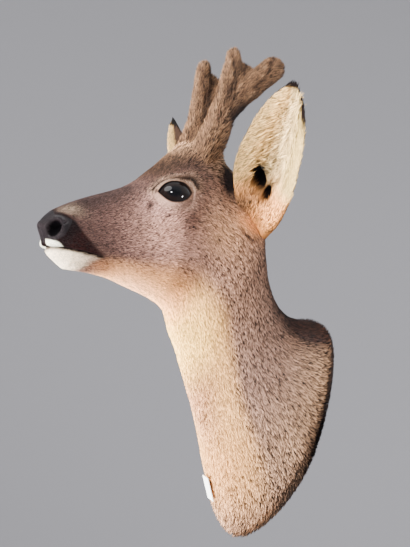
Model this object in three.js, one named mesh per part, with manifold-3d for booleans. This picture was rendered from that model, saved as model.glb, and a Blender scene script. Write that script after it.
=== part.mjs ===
// Roe deer shoulder mount: a buck in velvet, head turned straight ahead, hung on a wall by its back board.
// Millimetres. The wall is the plane y = 0, the animal looks along -Y, its left side is +X, up is +Z.
// The origin is the middle of the back board's rear face. "Reach" is the distance out from the wall.
import * as THREE from 'three';
import { ParametricGeometry } from 'three/addons/geometries/ParametricGeometry.js';
import { mergeVertices } from 'three/addons/utils/BufferGeometryUtils.js';
import Module from 'manifold-3d';

const wasm = await Module();
wasm.setup();

const GAP = 0.4;
const CUT_OVERRUN = 30;
const CUT_CLEARANCE = 1;
const MERGE_DISTANCE = 1e-3;

// Far enough out for a cut to clear the whole model: reaches and heights, and half a width.
const CLEAR = { front: 320, rear: -30, top: 260, bottom: -150, halfWidth: 110 };

// Body: rings from the nose to the wall. Each ring lies in a plane that holds the left-right axis:
// top and bottom are [reach, height] in the middle plane, half is its half width, widest says how far
// up from the bottom it is widest, and upper and lower say how square its two halves are (2 is an ellipse).
const RINGS = [
  { name: 'nose tip', top: [280, 85], bottom: [277.5, 77], half: 6, widest: 0.5, upper: 2, lower: 2 },
  { name: 'nose', top: [275.5, 94.5], bottom: [264, 63], half: 17, widest: 0.55, upper: 2.2, lower: 2 },
  { name: 'nostrils', top: [269, 102.5], bottom: [249.5, 56], half: 21, widest: 0.55, upper: 2.3, lower: 2 },
  { name: 'lips', top: [260, 111.5], bottom: [243, 55.8], half: 22.5, widest: 0.5, upper: 2.3, lower: 2 },
  { name: 'chin', top: [246, 123.2], bottom: [225, 60], half: 24, widest: 0.48, upper: 2.3, lower: 2 },
  { name: 'bridge', top: [232, 134], bottom: [206, 63], half: 28, widest: 0.5, upper: 2.3, lower: 2 },
  { name: 'cheek', top: [219.5, 145], bottom: [188, 63], half: 35, widest: 0.55, upper: 2.2, lower: 2 },
  { name: 'stop', top: [207.5, 159.5], bottom: [170, 63], half: 42, widest: 0.6, upper: 2.2, lower: 2 },
  { name: 'eyes', top: [195.5, 178.5], bottom: [158, 62], half: 46, widest: 0.62, upper: 2.3, lower: 2 },
  { name: 'forehead', top: [184, 195.5], bottom: [147.5, 59.5], half: 45, widest: 0.6, upper: 2.3, lower: 2 },
  { name: 'crown', top: [164, 205], bottom: [139, 54], half: 43, widest: 0.58, upper: 2.1, lower: 2 },
  { name: 'poll', top: [138, 203], bottom: [134, 46.5], half: 42, widest: 0.55, upper: 2.1, lower: 2 },
  { name: 'nape', top: [111, 194], bottom: [128.5, 38.5], half: 45, widest: 0.52, upper: 2.1, lower: 2 },
  { name: 'throat', top: [90, 176.5], bottom: [119.5, 28], half: 46, widest: 0.5, upper: 2.1, lower: 1.9 },
  { name: 'upper neck', top: [77, 151], bottom: [110, 15], half: 44, widest: 0.5, upper: 2.1, lower: 1.8 },
  { name: 'middle neck', top: [65, 127], bottom: [98, 0], half: 46, widest: 0.5, upper: 2.1, lower: 1.75 },
  { name: 'lower neck', top: [50, 110], bottom: [82, -19], half: 51, widest: 0.47, upper: 2.1, lower: 1.7 },
  { name: 'withers', top: [34, 102], bottom: [62, -44], half: 61, widest: 0.46, upper: 2.1, lower: 1.7 },
  { name: 'shoulders', top: [20, 102], bottom: [41, -72], half: 72.5, widest: 0.45, upper: 2.3, lower: 1.7 },
  { name: 'brisket', top: [11, 104], bottom: [22, -96], half: 80.5, widest: 0.44, upper: 2.5, lower: 1.65 },
  { name: 'cape edge', top: [4, 103], bottom: [7, -106.5], half: 79, widest: 0.44, upper: 2.6, lower: 1.65 },
  { name: 'wall', top: [0, 99], bottom: [0, -102], half: 75, widest: 0.44, upper: 2.6, lower: 1.65 },
];

// Swellings and hollows on both sides: where, how far they spread, and how they move the surface.
const SWELLINGS = [
  { name: 'brow', at: [42, 191, 155], spread: 19, push: [6, 2, 3] },
  { name: 'cheekbone', at: [46, 186, 126], spread: 18, push: [3.5, 1, 0] },
  { name: 'hollow before the eye', at: [33, 213, 128], spread: 13, push: [-3, 0, 0] },
  { name: 'jaw muscle', at: [40, 158, 98], spread: 28, push: [3.5, 0, 0] },
  { name: 'nostril wing', at: [19, 266, 88], spread: 11, push: [2.5, 1, 0] },
  { name: 'lip', at: [20, 246, 76], spread: 13, push: [2, 0, 0] },
  { name: 'shoulder lobe', at: [58, 8, 82], spread: 24, push: [5, 3, 2] },
  { name: 'crease over the shoulder', at: [52, 38, 76], spread: 20, push: [-4, 0, 0] },
  { name: 'stump under the antler', at: [24, 168, 199], spread: 16, push: [1, -1, 14] },
];

const HEAD_ENDS_AT = 11.6;
const NECK_PARTS_AT = 14.6;
const NECK_ENDS_AT = 17.2;

// Eyes: glass balls deep in the head, behind lids that leave an almond-shaped opening.
const EYE_RADIUS = 15.5;
const EYE_CENTRE = [34.5, 189, 141.5];
const EYE_LOOKS = [0.89, 0.44, 0.13];
const EYE_CORNER_SLOPE = -0.26;
const EYE_SEGMENTS = [16, 10];
const LID_THICKNESS = 1.6;
const LID_OPENING = { half: 13.7, up: 10, down: 9, fullness: 1.3, depth: 40, segments: 7 };

// Mouth: a closed slit that rises from the lips to the corner, and the jaw behind it.
const MOUTH_FRONT = [290, 62];
const MOUTH_CORNER = [223, 74.5];
const JAW = { back: 160, slant: 8, floor: 20 };

// Ears: a solid root that opens into a thin cup. The right ear is held a little higher.
const EAR_PATH = [
  [20, 97, 154],
  [45, 111, 166],
  [68, 128, 191],
  [86, 139, 221],
  [97, 146, 241],
  [104, 151, 254],
];
const EAR_OPENS = [0.64, 0.62, -0.3];
const EAR_HALF_WIDTHS = [17.5, 22, 29, 25, 16.4, 4.5];
const EAR_DEPTHS = [2, 6, 19, 15, 8, 1];
const EAR_WALLS = [18, 20, 5, 3.6, 3, 2];
const EAR_MESH = [12, 18];
const RIGHT_EAR_RISE = 8;

// Antlers: a stout stem with an upright front point, a long rear point and a web between the two.
// The right antler's root is set a little further back.
const FRONT_POINT = {
  path: [[22, 170, 176], [22, 164.5, 222], [23.5, 168, 256], [25.5, 172, 280], [25, 174.5, 297]],
  foreAft: [14.5, 12, 10, 8, 7],
  across: [11.5, 10.5, 8.5, 7, 6],
  mesh: [10, 10],
};
const REAR_POINT = {
  path: [[23, 163, 232], [25, 155, 258], [28, 143, 282], [30, 128, 306]],
  foreAft: [9, 11.5, 12, 12],
  across: [8, 8, 8, 8],
  mesh: [8, 10],
};
const WEB = {
  path: [[23, 166, 228], [25, 163, 260], [27, 158, 289]],
  foreAft: [10, 14, 16],
  across: [5, 4.5, 3],
  mesh: [3, 8],
};
const TIP_ROUNDING = 0.12;
const TIP_FLAT = 0.2;
const ROOT_SET_BACK = { amount: 4, from: 200, to: 290 };
const FORK_CUT = [[159, 340], [147, 236]];
const REAR_POINT_ROOM = 90;

const NOSE_PAD = [[300, 100], [266, 99], [256, 89], [263, 74], [300, 69]];
const NOSTRIL = { at: [16, 271, 78], size: [6, 3, 5], segments: [10, 7] };

const BODY_ROWS = 48;
const BODY_SIDES = 30;

const BOARD_THICKNESS = 12;
const BOARD_SCALE = 0.86;
const HANGER = { width: 46, height: 13, thickness: 1.2, inset: 0.5, z: 62, teeth: 5, end: 8 };
const NAIL_POCKET = { width: 23, height: 13, depth: 4, drop: 4 };
const HANGER_SCREW = { radius: 3, head: 1.4, shank: 1.5, length: 8, spacing: 36, segments: 12 };

const TAG = { width: 14, height: 22, thickness: 0.7, ring: 18.1, angle: -1.85, lift: 0.8 };

const COAT_BROWN = 0x8a7363;
const FACE_BROWN = 0x7d685e;
const NECK_BUFF = 0xa58c74;
const CHIN_WHITE = 0xd9cfc4;
const EAR_CREAM = 0xcdb491;
const VELVET_BROWN = 0x7d5b42;
const NOSE_BLACK = 0x17171b;
const GLASS_BLACK = 0x0b0a0c;
const PINE = 0xb08d5f;
const ZINC = 0xb9bbbd;
const BRASS = 0xc9b069;
const PAPER = 0xf3f1ec;

const at = ([x, reach, height]) => new THREE.Vector3(x, -reach, height);
const mirrored = ([x, reach, height]) => [-x, reach, height];
const curve = (points) => new THREE.CatmullRomCurve3(points, false, 'catmullrom', 0.5);
const sizeCurve = (sizes) => curve(sizes.map((size) => new THREE.Vector3(size, 0, 0)));

const tops = curve(RINGS.map(({ top, half }) => new THREE.Vector3(half, -top[0], top[1])));
const bottoms = curve(RINGS.map(({ bottom, widest }) => new THREE.Vector3(widest, -bottom[0], bottom[1])));
const squareness = curve(RINGS.map(({ upper, lower }) => new THREE.Vector3(upper, lower, 0)));

// A point of the body's surface: ring counts from the nose, angle turns from the left side over the top.
function bodyPoint(ring, angle, grow = 0) {
  const t = ring / (RINGS.length - 1);
  const top = tops.getPoint(t);
  const bottom = bottoms.getPoint(t);
  const square = squareness.getPoint(t);
  const half = top.x + grow;
  const widest = bottom.x;
  top.x = 0;
  bottom.x = 0;
  const rise = top.clone().sub(bottom).normalize().multiplyScalar(grow);
  top.add(rise);
  bottom.sub(rise);
  const power = 2 / (Math.sin(angle) >= 0 ? square.x : square.y);
  const aside = Math.sign(Math.cos(angle)) * Math.abs(Math.cos(angle)) ** power;
  const away = Math.abs(Math.sin(angle)) ** power;
  const point = bottom.clone().lerp(top, widest);
  point.lerp(Math.sin(angle) >= 0 ? top : bottom, away);
  point.x = half * aside;
  const moved = point.clone();
  for (const { at: place, spread, push } of SWELLINGS) {
    for (const [centre, shift] of [[place, push], [mirrored(place), mirrored(push)]]) {
      const fade = Math.exp(-point.distanceToSquared(at(centre)) / spread ** 2);
      moved.addScaledVector(at(shift), fade);
    }
  }
  return moved;
}

// Merges a geometry's corners, drops flat triangles and turns the faces out.
function closed(geometry) {
  const bare = new THREE.BufferGeometry();
  bare.setAttribute('position', geometry.getAttribute('position'));
  if (geometry.index) bare.setIndex(geometry.index);
  const merged = mergeVertices(bare, MERGE_DISTANCE);
  const position = merged.getAttribute('position');
  const [a, b, c] = [new THREE.Vector3(), new THREE.Vector3(), new THREE.Vector3()];
  const kept = [];
  let volume = 0;
  for (let i = 0; i < merged.index.count; i += 3) {
    const corners = [0, 1, 2].map((k) => merged.index.getX(i + k));
    if (new Set(corners).size < 3) continue;
    kept.push(corners);
    a.fromBufferAttribute(position, corners[0]);
    b.fromBufferAttribute(position, corners[1]);
    c.fromBufferAttribute(position, corners[2]);
    volume += a.dot(b.cross(c));
  }
  if (volume < 0) kept.forEach((corners) => corners.reverse());
  merged.setIndex(kept.flat());
  return merged;
}

// A closed skin through rings: section(t, angle) gives its points, and each end closes on its own middle.
function lofted(section, along, around) {
  const middle = (t) => section(t, 0).add(section(t, Math.PI)).multiplyScalar(0.5);
  const surface = (u, v, target) => {
    const row = Math.round(v * (along + 2)) - 1;
    if (row < 0) return target.copy(middle(0));
    if (row > along) return target.copy(middle(1));
    return target.copy(section(row / along, (Math.round(u * around) % around) / around * 2 * Math.PI));
  };
  return closed(new ParametricGeometry(surface, around, along + 2));
}

const bodyPart = (from, to, along, around, grow = 0) =>
  lofted((t, angle) => bodyPoint(from + (to - from) * t, angle, grow), along, around);

// How far back a point of a limb is set, on the right side only.
function setBack(height, side) {
  const { amount, from, to } = ROOT_SET_BACK;
  return side < 0 ? amount * (1 - THREE.MathUtils.smoothstep(height, from, to)) : 0;
}

// A round limb along a path of [x, reach, height] points, with a rounded end.
function limb({ path, foreAft, across, mesh }, side) {
  const places = path.map(([x, reach, height]) => [x * side, reach - setBack(height, side), height]);
  const spine = curve(places.map(at));
  const depths = sizeCurve(foreAft);
  const widths = sizeCurve(across);
  return lofted((t, angle) => {
    const rounding = Math.max(0, (t - 1 + TIP_ROUNDING) / TIP_ROUNDING);
    const shrink = Math.sqrt(Math.max(TIP_FLAT ** 2, 1 - rounding ** 2));
    const tangent = spine.getTangent(t);
    const fore = new THREE.Vector3(1, 0, 0).cross(tangent).normalize();
    const aside = tangent.clone().cross(fore);
    return spine.getPoint(t)
      .addScaledVector(aside, Math.cos(angle) * widths.getPoint(t).x * shrink)
      .addScaledVector(fore, Math.sin(angle) * depths.getPoint(t).x * shrink);
  }, ...mesh);
}

function ear(side) {
  const spine = curve(EAR_PATH.map(([x, reach, height]) => at([x * side, reach, height])));
  const rise = side < 0 ? RIGHT_EAR_RISE : 0;
  const opens = at(EAR_OPENS);
  opens.x *= side;
  const [widths, depths, walls] = [EAR_HALF_WIDTHS, EAR_DEPTHS, EAR_WALLS].map(sizeCurve);
  return lofted((t, angle) => {
    const tangent = spine.getTangent(t);
    const back = tangent.clone().cross(opens).normalize();
    const out = back.clone().cross(tangent).normalize();
    const across = Math.cos(angle);
    const thickness = walls.getPoint(t).x / 2 * Math.sqrt(Math.abs(1 - across ** 6));
    const wall = thickness * -Math.sign(Math.sin(angle));
    const cup = depths.getPoint(t).x * (1 - across ** 2);
    const point = spine.getPoint(t)
      .addScaledVector(back, across * widths.getPoint(t).x)
      .addScaledVector(out, wall - cup + depths.getPoint(t).x / 2);
    point.z += rise * t;
    return point;
  }, ...EAR_MESH);
}

function solid(geometry) {
  const mesh = closed(geometry);
  const vertProperties = new Float32Array(mesh.getAttribute('position').array);
  const triVerts = new Uint32Array(mesh.index.array);
  return new wasm.Manifold(new wasm.Mesh({ numProp: 3, vertProperties, triVerts }));
}

function surfaceOf(manifold) {
  const mesh = manifold.getMesh();
  const geometry = new THREE.BufferGeometry();
  geometry.setAttribute('position', new THREE.BufferAttribute(mesh.vertProperties, 3));
  geometry.setIndex(new THREE.BufferAttribute(mesh.triVerts, 1));
  return geometry;
}

// A slab across the whole body, with an outline of [reach, height] points in the middle plane.
function slab(outline) {
  const { halfWidth } = CLEAR;
  const shape = new THREE.Shape(outline.map(([reach, height]) => new THREE.Vector2(reach, height)));
  const geometry = new THREE.ExtrudeGeometry(shape, { depth: 2 * halfWidth, bevelEnabled: false });
  geometry.translate(0, 0, -halfWidth);
  geometry.applyMatrix4(new THREE.Matrix4().set(0, 0, 1, 0, -1, 0, 0, 0, 0, 1, 0, 0, 0, 0, 0, 1));
  return solid(geometry);
}

// The almond-shaped opening between the lids, as a wedge that points out of the head.
function lidOpening(side) {
  const { half, up, down, fullness, depth, segments } = LID_OPENING;
  const shape = new THREE.Shape();
  shape.moveTo(-half, 0);
  shape.bezierCurveTo(-half / 2, up * fullness, half / 2, up * fullness, half, 0);
  shape.bezierCurveTo(half / 2, -down * fullness, -half / 2, -down * fullness, -half, 0);
  const geometry = new THREE.ExtrudeGeometry(shape, { depth, bevelEnabled: false, curveSegments: segments });
  return solid(placedOnEye(geometry, side));
}

// Moves a shape from the local frame of an eye (Z looks out, X runs to the rear corner) to its place.
function placedOnEye(geometry, side) {
  const looks = at(EYE_LOOKS).normalize();
  const rear = new THREE.Vector3(0, 1, -EYE_CORNER_SLOPE).projectOnPlane(looks).normalize();
  const up = looks.clone().cross(rear);
  const matrix = new THREE.Matrix4().makeBasis(rear, up, looks).setPosition(at(EYE_CENTRE));
  geometry.applyMatrix4(matrix);
  geometry.applyMatrix4(new THREE.Matrix4().makeScale(side, 1, 1));
  return geometry;
}

function ball(radius, side) {
  const geometry = new THREE.SphereGeometry(radius, ...EYE_SEGMENTS);
  return placedOnEye(geometry.rotateX(Math.PI / 2), side);
}

const SIDES = { left: 1, right: -1 };
const group = new THREE.Group();

function add(name, geometry, color, roughness, metalness = 0) {
  const material = new THREE.MeshStandardMaterial({ color, roughness, metalness });
  const mesh = new THREE.Mesh(geometry, material);
  mesh.name = name;
  group.add(mesh);
}

// The ends, in the middle plane, of a straight cut through the body at a ring, moved forward by shift.
function cut(ring, shift) {
  const top = bodyPoint(ring, Math.PI / 2);
  const bottom = bodyPoint(ring, -Math.PI / 2);
  const along = top.clone().sub(bottom).normalize();
  const forward = new THREE.Vector3(1, 0, 0).cross(along);
  top.addScaledVector(along, CUT_OVERRUN).addScaledVector(forward, shift);
  bottom.addScaledVector(along, -CUT_OVERRUN).addScaledVector(forward, shift);
  return [[-top.y, top.z], [-bottom.y, bottom.z]];
}

// The middle-plane outlines of the parts that the body is cut into. Gap widens each one.
function headOutline() {
  const [top, bottom] = cut(HEAD_ENDS_AT, GAP / 2);
  return [top, [CLEAR.front, CLEAR.top], [CLEAR.front, CLEAR.bottom], bottom];
}

function neckOutline(from, to) {
  const [frontTop, frontBottom] = cut(from, -GAP / 2);
  const [rearTop, rearBottom] = cut(to, GAP / 2);
  return [frontTop, rearTop, rearBottom, frontBottom];
}

function shoulderOutline() {
  const [top, bottom] = cut(NECK_ENDS_AT, -GAP / 2);
  return [top, [CLEAR.rear, CLEAR.top], [CLEAR.rear, CLEAR.bottom], bottom];
}

function noseOutline(gap) {
  return NOSE_PAD.map(([reach, height], i) => [reach - gap, height + (i < 2 ? gap : -gap)]);
}

function jawOutline(gap) {
  const [frontReach, frontHeight] = MOUTH_FRONT;
  const slope = (MOUTH_CORNER[1] - frontHeight) / (MOUTH_CORNER[0] - frontReach);
  const back = JAW.back - gap;
  const backHeight = frontHeight + slope * (back - frontReach);
  return [
    [frontReach, frontHeight + gap],
    [back, backHeight + gap],
    [back - JAW.slant, JAW.floor],
    [frontReach, JAW.floor],
  ];
}

function rearPointOutline(gap) {
  const [[topReach, top], [bottomReach, bottom]] = FORK_CUT;
  return [
    [topReach + gap, top],
    [bottomReach + gap, bottom],
    [bottomReach - REAR_POINT_ROOM, bottom],
    [topReach - REAR_POINT_ROOM, top],
  ];
}

const wholeBody = (grow) => solid(bodyPart(0, RINGS.length - 1, BODY_ROWS, BODY_SIDES, grow));
const body = wholeBody(0);
const bodyAndGap = wholeBody(GAP);

// Back board: a wooden panel with the outline of the cape's edge, let in flush with it.
function boardSolid(grow) {
  const middle = bodyPoint(RINGS.length - 1, 0).add(bodyPoint(RINGS.length - 1, Math.PI)).multiplyScalar(0.5);
  const outline = [];
  for (let i = 0; i < BODY_SIDES; i += 1) {
    const point = bodyPoint(RINGS.length - 1, i / BODY_SIDES * 2 * Math.PI);
    const size = point.distanceTo(middle);
    point.sub(middle).multiplyScalar(BOARD_SCALE + grow / size).add(middle);
    outline.push(new THREE.Vector2(point.x, point.z));
  }
  const depth = BOARD_THICKNESS + grow;
  const geometry = new THREE.ExtrudeGeometry(new THREE.Shape(outline), { depth, bevelEnabled: false });
  return solid(geometry.rotateX(Math.PI / 2));
}

// A flat piece against the wall side, from a shape in the XZ plane: front says how deep it reaches in.
function inset(shape, front, rear = -CUT_CLEARANCE) {
  const geometry = new THREE.ExtrudeGeometry(shape, { depth: front - rear, bevelEnabled: false });
  return solid(geometry.translate(0, 0, rear).rotateX(Math.PI / 2));
}

function rectangle(width, height, z, grow = 0) {
  const [w, h] = [width / 2 + grow, height / 2 + grow];
  return new THREE.Shape([[-w, -h], [w, -h], [w, h], [-w, h]].map(([x, y]) => new THREE.Vector2(x, y + z)));
}

function hangerShape() {
  const { width, height, z, teeth, end } = HANGER;
  const toothRow = width - 2 * end;
  const pitch = toothRow / teeth;
  const shape = new THREE.Shape();
  shape.moveTo(-width / 2, z - height / 2);
  for (let i = 0; i < teeth; i += 1) {
    const x = -toothRow / 2 + i * pitch;
    shape.lineTo(x, z - height / 2);
    shape.lineTo(x + pitch / 2, z - height / 2 + pitch / 2);
  }
  shape.lineTo(toothRow / 2, z - height / 2);
  shape.lineTo(width / 2, z - height / 2);
  shape.lineTo(width / 2, z + height / 2);
  shape.lineTo(-width / 2, z + height / 2);
  return shape;
}

// A countersunk screw, or with grow the hole that it sits in, which starts clear of its head.
function hangerScrew(x, grow = 0) {
  const { radius, head, shank, length, segments } = HANGER_SCREW;
  const start = grow > 0 ? -CUT_CLEARANCE : 0;
  const profile = [
    [0, start],
    [radius + grow, start],
    [radius + grow, 0],
    [shank + grow, head],
    [shank + grow, length + grow],
    [0, length + grow],
  ].map(([r, depth]) => new THREE.Vector2(r, depth));
  const geometry = new THREE.LatheGeometry(profile, segments);
  return solid(geometry.rotateX(Math.PI).translate(x, -HANGER.inset, HANGER.z));
}

const screwPlaces = [-0.5, 0.5].map((k) => k * HANGER_SCREW.spacing);
const hangerFront = HANGER.inset + HANGER.thickness;
const rebate = inset(rectangle(HANGER.width, HANGER.height, HANGER.z, GAP), hangerFront + GAP);
const pocketShape = rectangle(NAIL_POCKET.width, NAIL_POCKET.height, HANGER.z - NAIL_POCKET.drop);
const nailPocket = inset(pocketShape, NAIL_POCKET.depth);
const screwHoles = screwPlaces.map((x) => hangerScrew(x, GAP / 2));
const drilled = (blank) => screwHoles.reduce((left, hole) => left.subtract(hole), blank);
const hanger = inset(hangerShape(), hangerFront, HANGER.inset);

add('back_board', surfaceOf(drilled(boardSolid(0).subtract(rebate).subtract(nailPocket))), PINE, 0.7);
add('hanger', surfaceOf(drilled(hanger)), ZINC, 0.35, 1);
screwPlaces.forEach((x, i) => add(`hanger_screw_${i + 1}`, surfaceOf(hangerScrew(x)), BRASS, 0.35, 1));

// Shoulders and neck: the cape over its form, cut square to the neck.
const carve = (outline) => body.intersect(slab(outline));
add('shoulders', surfaceOf(carve(shoulderOutline()).subtract(boardSolid(GAP))), NECK_BUFF, 0.9);
add('neck_lower', surfaceOf(carve(neckOutline(NECK_PARTS_AT, NECK_ENDS_AT))), NECK_BUFF, 0.9);
add('neck_upper', surfaceOf(carve(neckOutline(HEAD_ENDS_AT, NECK_PARTS_AT))), COAT_BROWN, 0.9);

// Head: lids over the eyes, a socket behind each, the nose and the lower jaw cut free.
let head = carve(headOutline());
for (const side of Object.values(SIDES)) {
  head = head.add(solid(ball(EYE_RADIUS + LID_THICKNESS, side)))
    .subtract(solid(ball(EYE_RADIUS + GAP, side)))
    .subtract(lidOpening(side));
}
const nose = head.intersect(slab(noseOutline(0)));
const jaw = head.intersect(slab(jawOutline(0)));
head = head.subtract(slab(noseOutline(GAP))).subtract(slab(jawOutline(GAP)));

function nostril(side) {
  const { at: [x, reach, height], size, segments } = NOSTRIL;
  const matrix = new THREE.Matrix4().makeScale(...size).setPosition(at([x * side, reach, height]));
  return solid(new THREE.SphereGeometry(1, ...segments).applyMatrix4(matrix));
}

add('head', surfaceOf(head), FACE_BROWN, 0.9);
add('lower_jaw', surfaceOf(jaw), CHIN_WHITE, 0.9);
add('nose_pad', surfaceOf(nose.subtract(nostril(1)).subtract(nostril(-1))), NOSE_BLACK, 0.4);

for (const [name, side] of Object.entries(SIDES)) {
  add(`eye_${name}`, closed(ball(EYE_RADIUS, side)), GLASS_BLACK, 0.05);
  add(`ear_${name}`, surfaceOf(solid(ear(side)).subtract(bodyAndGap)), EAR_CREAM, 0.9);
  const antler = solid(limb(FRONT_POINT, side))
    .add(solid(limb(REAR_POINT, side)))
    .add(solid(limb(WEB, side)))
    .subtract(bodyAndGap);
  add(`antler_${name}_front`, surfaceOf(antler.subtract(slab(rearPointOutline(GAP)))), VELVET_BROWN, 0.95);
  add(`antler_${name}_rear`, surfaceOf(antler.intersect(slab(rearPointOutline(0)))), VELVET_BROWN, 0.95);
}

// Tag: a blank paper label, pinned low on the right of the chest.
const tagMiddle = bodyPoint(TAG.ring, TAG.angle);
const tagUp = bodyPoint(TAG.ring - 0.2, TAG.angle).sub(tagMiddle).normalize();
const tagOut = bodyPoint(TAG.ring, TAG.angle + 0.1).sub(tagMiddle).cross(tagUp).normalize();
const tagShape = rectangle(TAG.width, TAG.height, 0);
const tagGeometry = new THREE.ExtrudeGeometry(tagShape, { depth: TAG.thickness, bevelEnabled: false });
tagGeometry.translate(0, 0, TAG.lift);
tagGeometry.applyMatrix4(new THREE.Matrix4().makeBasis(tagUp.clone().cross(tagOut), tagUp, tagOut));
add('tag', closed(tagGeometry.translate(...tagMiddle)), PAPER, 0.8);

export default group;
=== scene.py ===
"""Roe deer shoulder mount: a buck with his antlers in velvet, head and neck straight out from the wall.

The wall is the plane y = 0, the animal looks along -Y, its left side is +X and up is +Z. Shapes are
worked out in millimetres from the middle of the board's rear face, with "reach" for the distance out
from the wall, and turned into metres as they become meshes.
"""
import math

import bmesh
import bpy
import numpy as np
from mathutils import Matrix, Vector


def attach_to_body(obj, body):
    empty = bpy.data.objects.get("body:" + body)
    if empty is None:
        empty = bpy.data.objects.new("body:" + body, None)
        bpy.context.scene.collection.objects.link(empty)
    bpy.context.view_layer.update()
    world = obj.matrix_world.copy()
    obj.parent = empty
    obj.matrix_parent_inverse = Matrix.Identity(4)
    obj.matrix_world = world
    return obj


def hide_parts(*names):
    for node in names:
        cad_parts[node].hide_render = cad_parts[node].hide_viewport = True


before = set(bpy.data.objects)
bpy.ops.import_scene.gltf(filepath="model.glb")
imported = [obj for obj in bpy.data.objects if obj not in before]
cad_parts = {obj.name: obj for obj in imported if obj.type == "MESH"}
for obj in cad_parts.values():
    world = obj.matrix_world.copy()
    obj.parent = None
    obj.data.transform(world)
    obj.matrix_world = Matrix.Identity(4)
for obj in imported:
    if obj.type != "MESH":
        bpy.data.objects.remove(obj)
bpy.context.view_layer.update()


# ---- Camera -------------------------------------------------------------------------------------
# The mount is looked at from its left side and a little from below. The camera leans over, so that
# the neck stands up in the picture, with the head to the left and the board to the right.

MM = 0.001
LONG_SIDE = 547
SHORT_SIDE = 410
CAMERA_TURN = math.radians(62)
CAMERA_RISE = math.radians(-14)
CAMERA_LEAN = math.radians(18.1)
CAMERA_LENS = 70
CAMERA_SENSOR = 36
CAMERA_DISTANCE = 0.98
ORIGIN_IN_PICTURE = (275, 427)


def add_object(name, data):
    """A new object in the scene."""
    made = bpy.data.objects.new(name, data)
    bpy.context.scene.collection.objects.link(made)
    return made


back = Vector((
    math.sin(CAMERA_TURN) * math.cos(CAMERA_RISE),
    -math.cos(CAMERA_TURN) * math.cos(CAMERA_RISE),
    math.sin(CAMERA_RISE),
))
level_right = Vector((math.cos(CAMERA_TURN), math.sin(CAMERA_TURN), 0))
level_up = back.cross(level_right)
camera_right = level_right * math.cos(CAMERA_LEAN) + level_up * math.sin(CAMERA_LEAN)
camera_up = back.cross(camera_right)
metres_per_pixel = CAMERA_DISTANCE * CAMERA_SENSOR / CAMERA_LENS / LONG_SIDE
across_picture = (ORIGIN_IN_PICTURE[0] - SHORT_SIDE / 2) * metres_per_pixel
down_picture = (ORIGIN_IN_PICTURE[1] - LONG_SIDE / 2) * metres_per_pixel

camera_data = bpy.data.cameras.new("camera")
camera_data.lens = CAMERA_LENS
camera_data.sensor_width = CAMERA_SENSOR
camera = add_object("camera", camera_data)
camera_place = back * CAMERA_DISTANCE - camera_right * across_picture + camera_up * down_picture
camera.matrix_world = (
    Matrix.Translation(camera_place)
    @ Matrix((camera_right, camera_up, back)).transposed().to_4x4()
)
bpy.context.scene.camera = camera


# ---- Back board ---------------------------------------------------------------------------------
# A panel of planed pine, sawn to the outline of the cape's edge and let in flush with it. The form
# is screwed to it from behind, and the skin is tacked round its edge.

class Wire:
    """A node socket that works in plain arithmetic: each operator adds a Math or Vector Math node."""

    def __init__(self, tree, socket=None):
        self.tree = tree
        self.socket = socket

    def node(self, kind, settings=(), inputs=(), output=0):
        """Adds any node: its settings, the values or wires of its inputs, and the output wanted."""
        made = self.tree.nodes.new(kind)
        for name, value in dict(settings).items():
            setattr(made, name, value)
        for name, value in dict(inputs).items():
            self.join(made.inputs[name], value)
        return Wire(self.tree, made.outputs[output])

    def join(self, socket, value):
        """Gives a socket a wire or a value."""
        if isinstance(value, Wire):
            self.tree.links.new(value.socket, socket)
        else:
            socket.default_value = value

    def drive(self, **sockets):
        """Gives sockets of the material's shader their values or wires, each by its name in lower case."""
        shader = self.tree.nodes["Principled BSDF"].inputs
        for name, value in sockets.items():
            self.join(shader[name.replace("_", " ").title().replace("Ior", "IOR")], value)

    def combine(self, operation, first, second):
        """A Math node, or a Vector Math node where either side has three values."""
        pair = [first, second]
        if any(isinstance(side, Wire) and side.socket.type != "VALUE" for side in pair):
            pair = [(side,) * 3 if isinstance(side, (int, float)) else side for side in pair]
            return self.node("ShaderNodeVectorMath", {"operation": operation}, dict(enumerate(pair)))
        return self.node("ShaderNodeMath", {"operation": operation}, dict(enumerate(pair)))

    def __add__(self, other):
        return self.combine("ADD", self, other)

    __radd__ = __add__

    def __sub__(self, other):
        return self.combine("SUBTRACT", self, other)

    def __rsub__(self, other):
        return self.combine("SUBTRACT", other, self)

    def __mul__(self, other):
        return self.combine("MULTIPLY", self, other)

    __rmul__ = __mul__

    def mix(self, factor, first, second):
        """A colour between two colours."""
        return self.node("ShaderNodeMix", {"data_type": "RGBA"}, {0: factor, 6: first, 7: second}, 2)

    def between(self, low, high):
        """0 below low, 1 above high, and smooth from one to the other."""
        inputs = {0: self, 1: low, 2: high}
        return self.node("ShaderNodeMapRange", {"interpolation_type": "SMOOTHSTEP"}, inputs)

    def attribute(self, name, output="Fac"):
        """What the mesh stores for each of its points under a name."""
        return self.node("ShaderNodeAttribute", {"attribute_name": name}, {}, output)

    def place(self, scale=(1, 1, 1)):
        """The place on the piece, in metres, stretched by scale."""
        return self.node("ShaderNodeTexCoord", {}, {}, "Object") * scale

    def noise(self, vector, scale, detail=3.0, roughness=0.5):
        """Soft random spots, scale of them in each unit of the vector."""
        inputs = {"Vector": vector, "Scale": scale, "Detail": detail, "Roughness": roughness}
        return self.node("ShaderNodeTexNoise", {}, inputs)

    def bump(self, height, depth):
        """A Normal wire from a height from 0 to 1, where 1 stands depth metres out."""
        return self.node("ShaderNodeBump", {}, {"Height": height, "Distance": depth, "Strength": 1.0})


def tone(red, green, blue):
    """A colour given as it looks, from 0 to 255, as the linear colour that a shader takes."""
    values = np.array([red, green, blue]) / 255
    linear = np.where(values <= 0.04045, values / 12.92, ((values + 0.055) / 1.055) ** 2.4)
    return (*(float(value) for value in linear), 1.0)


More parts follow.
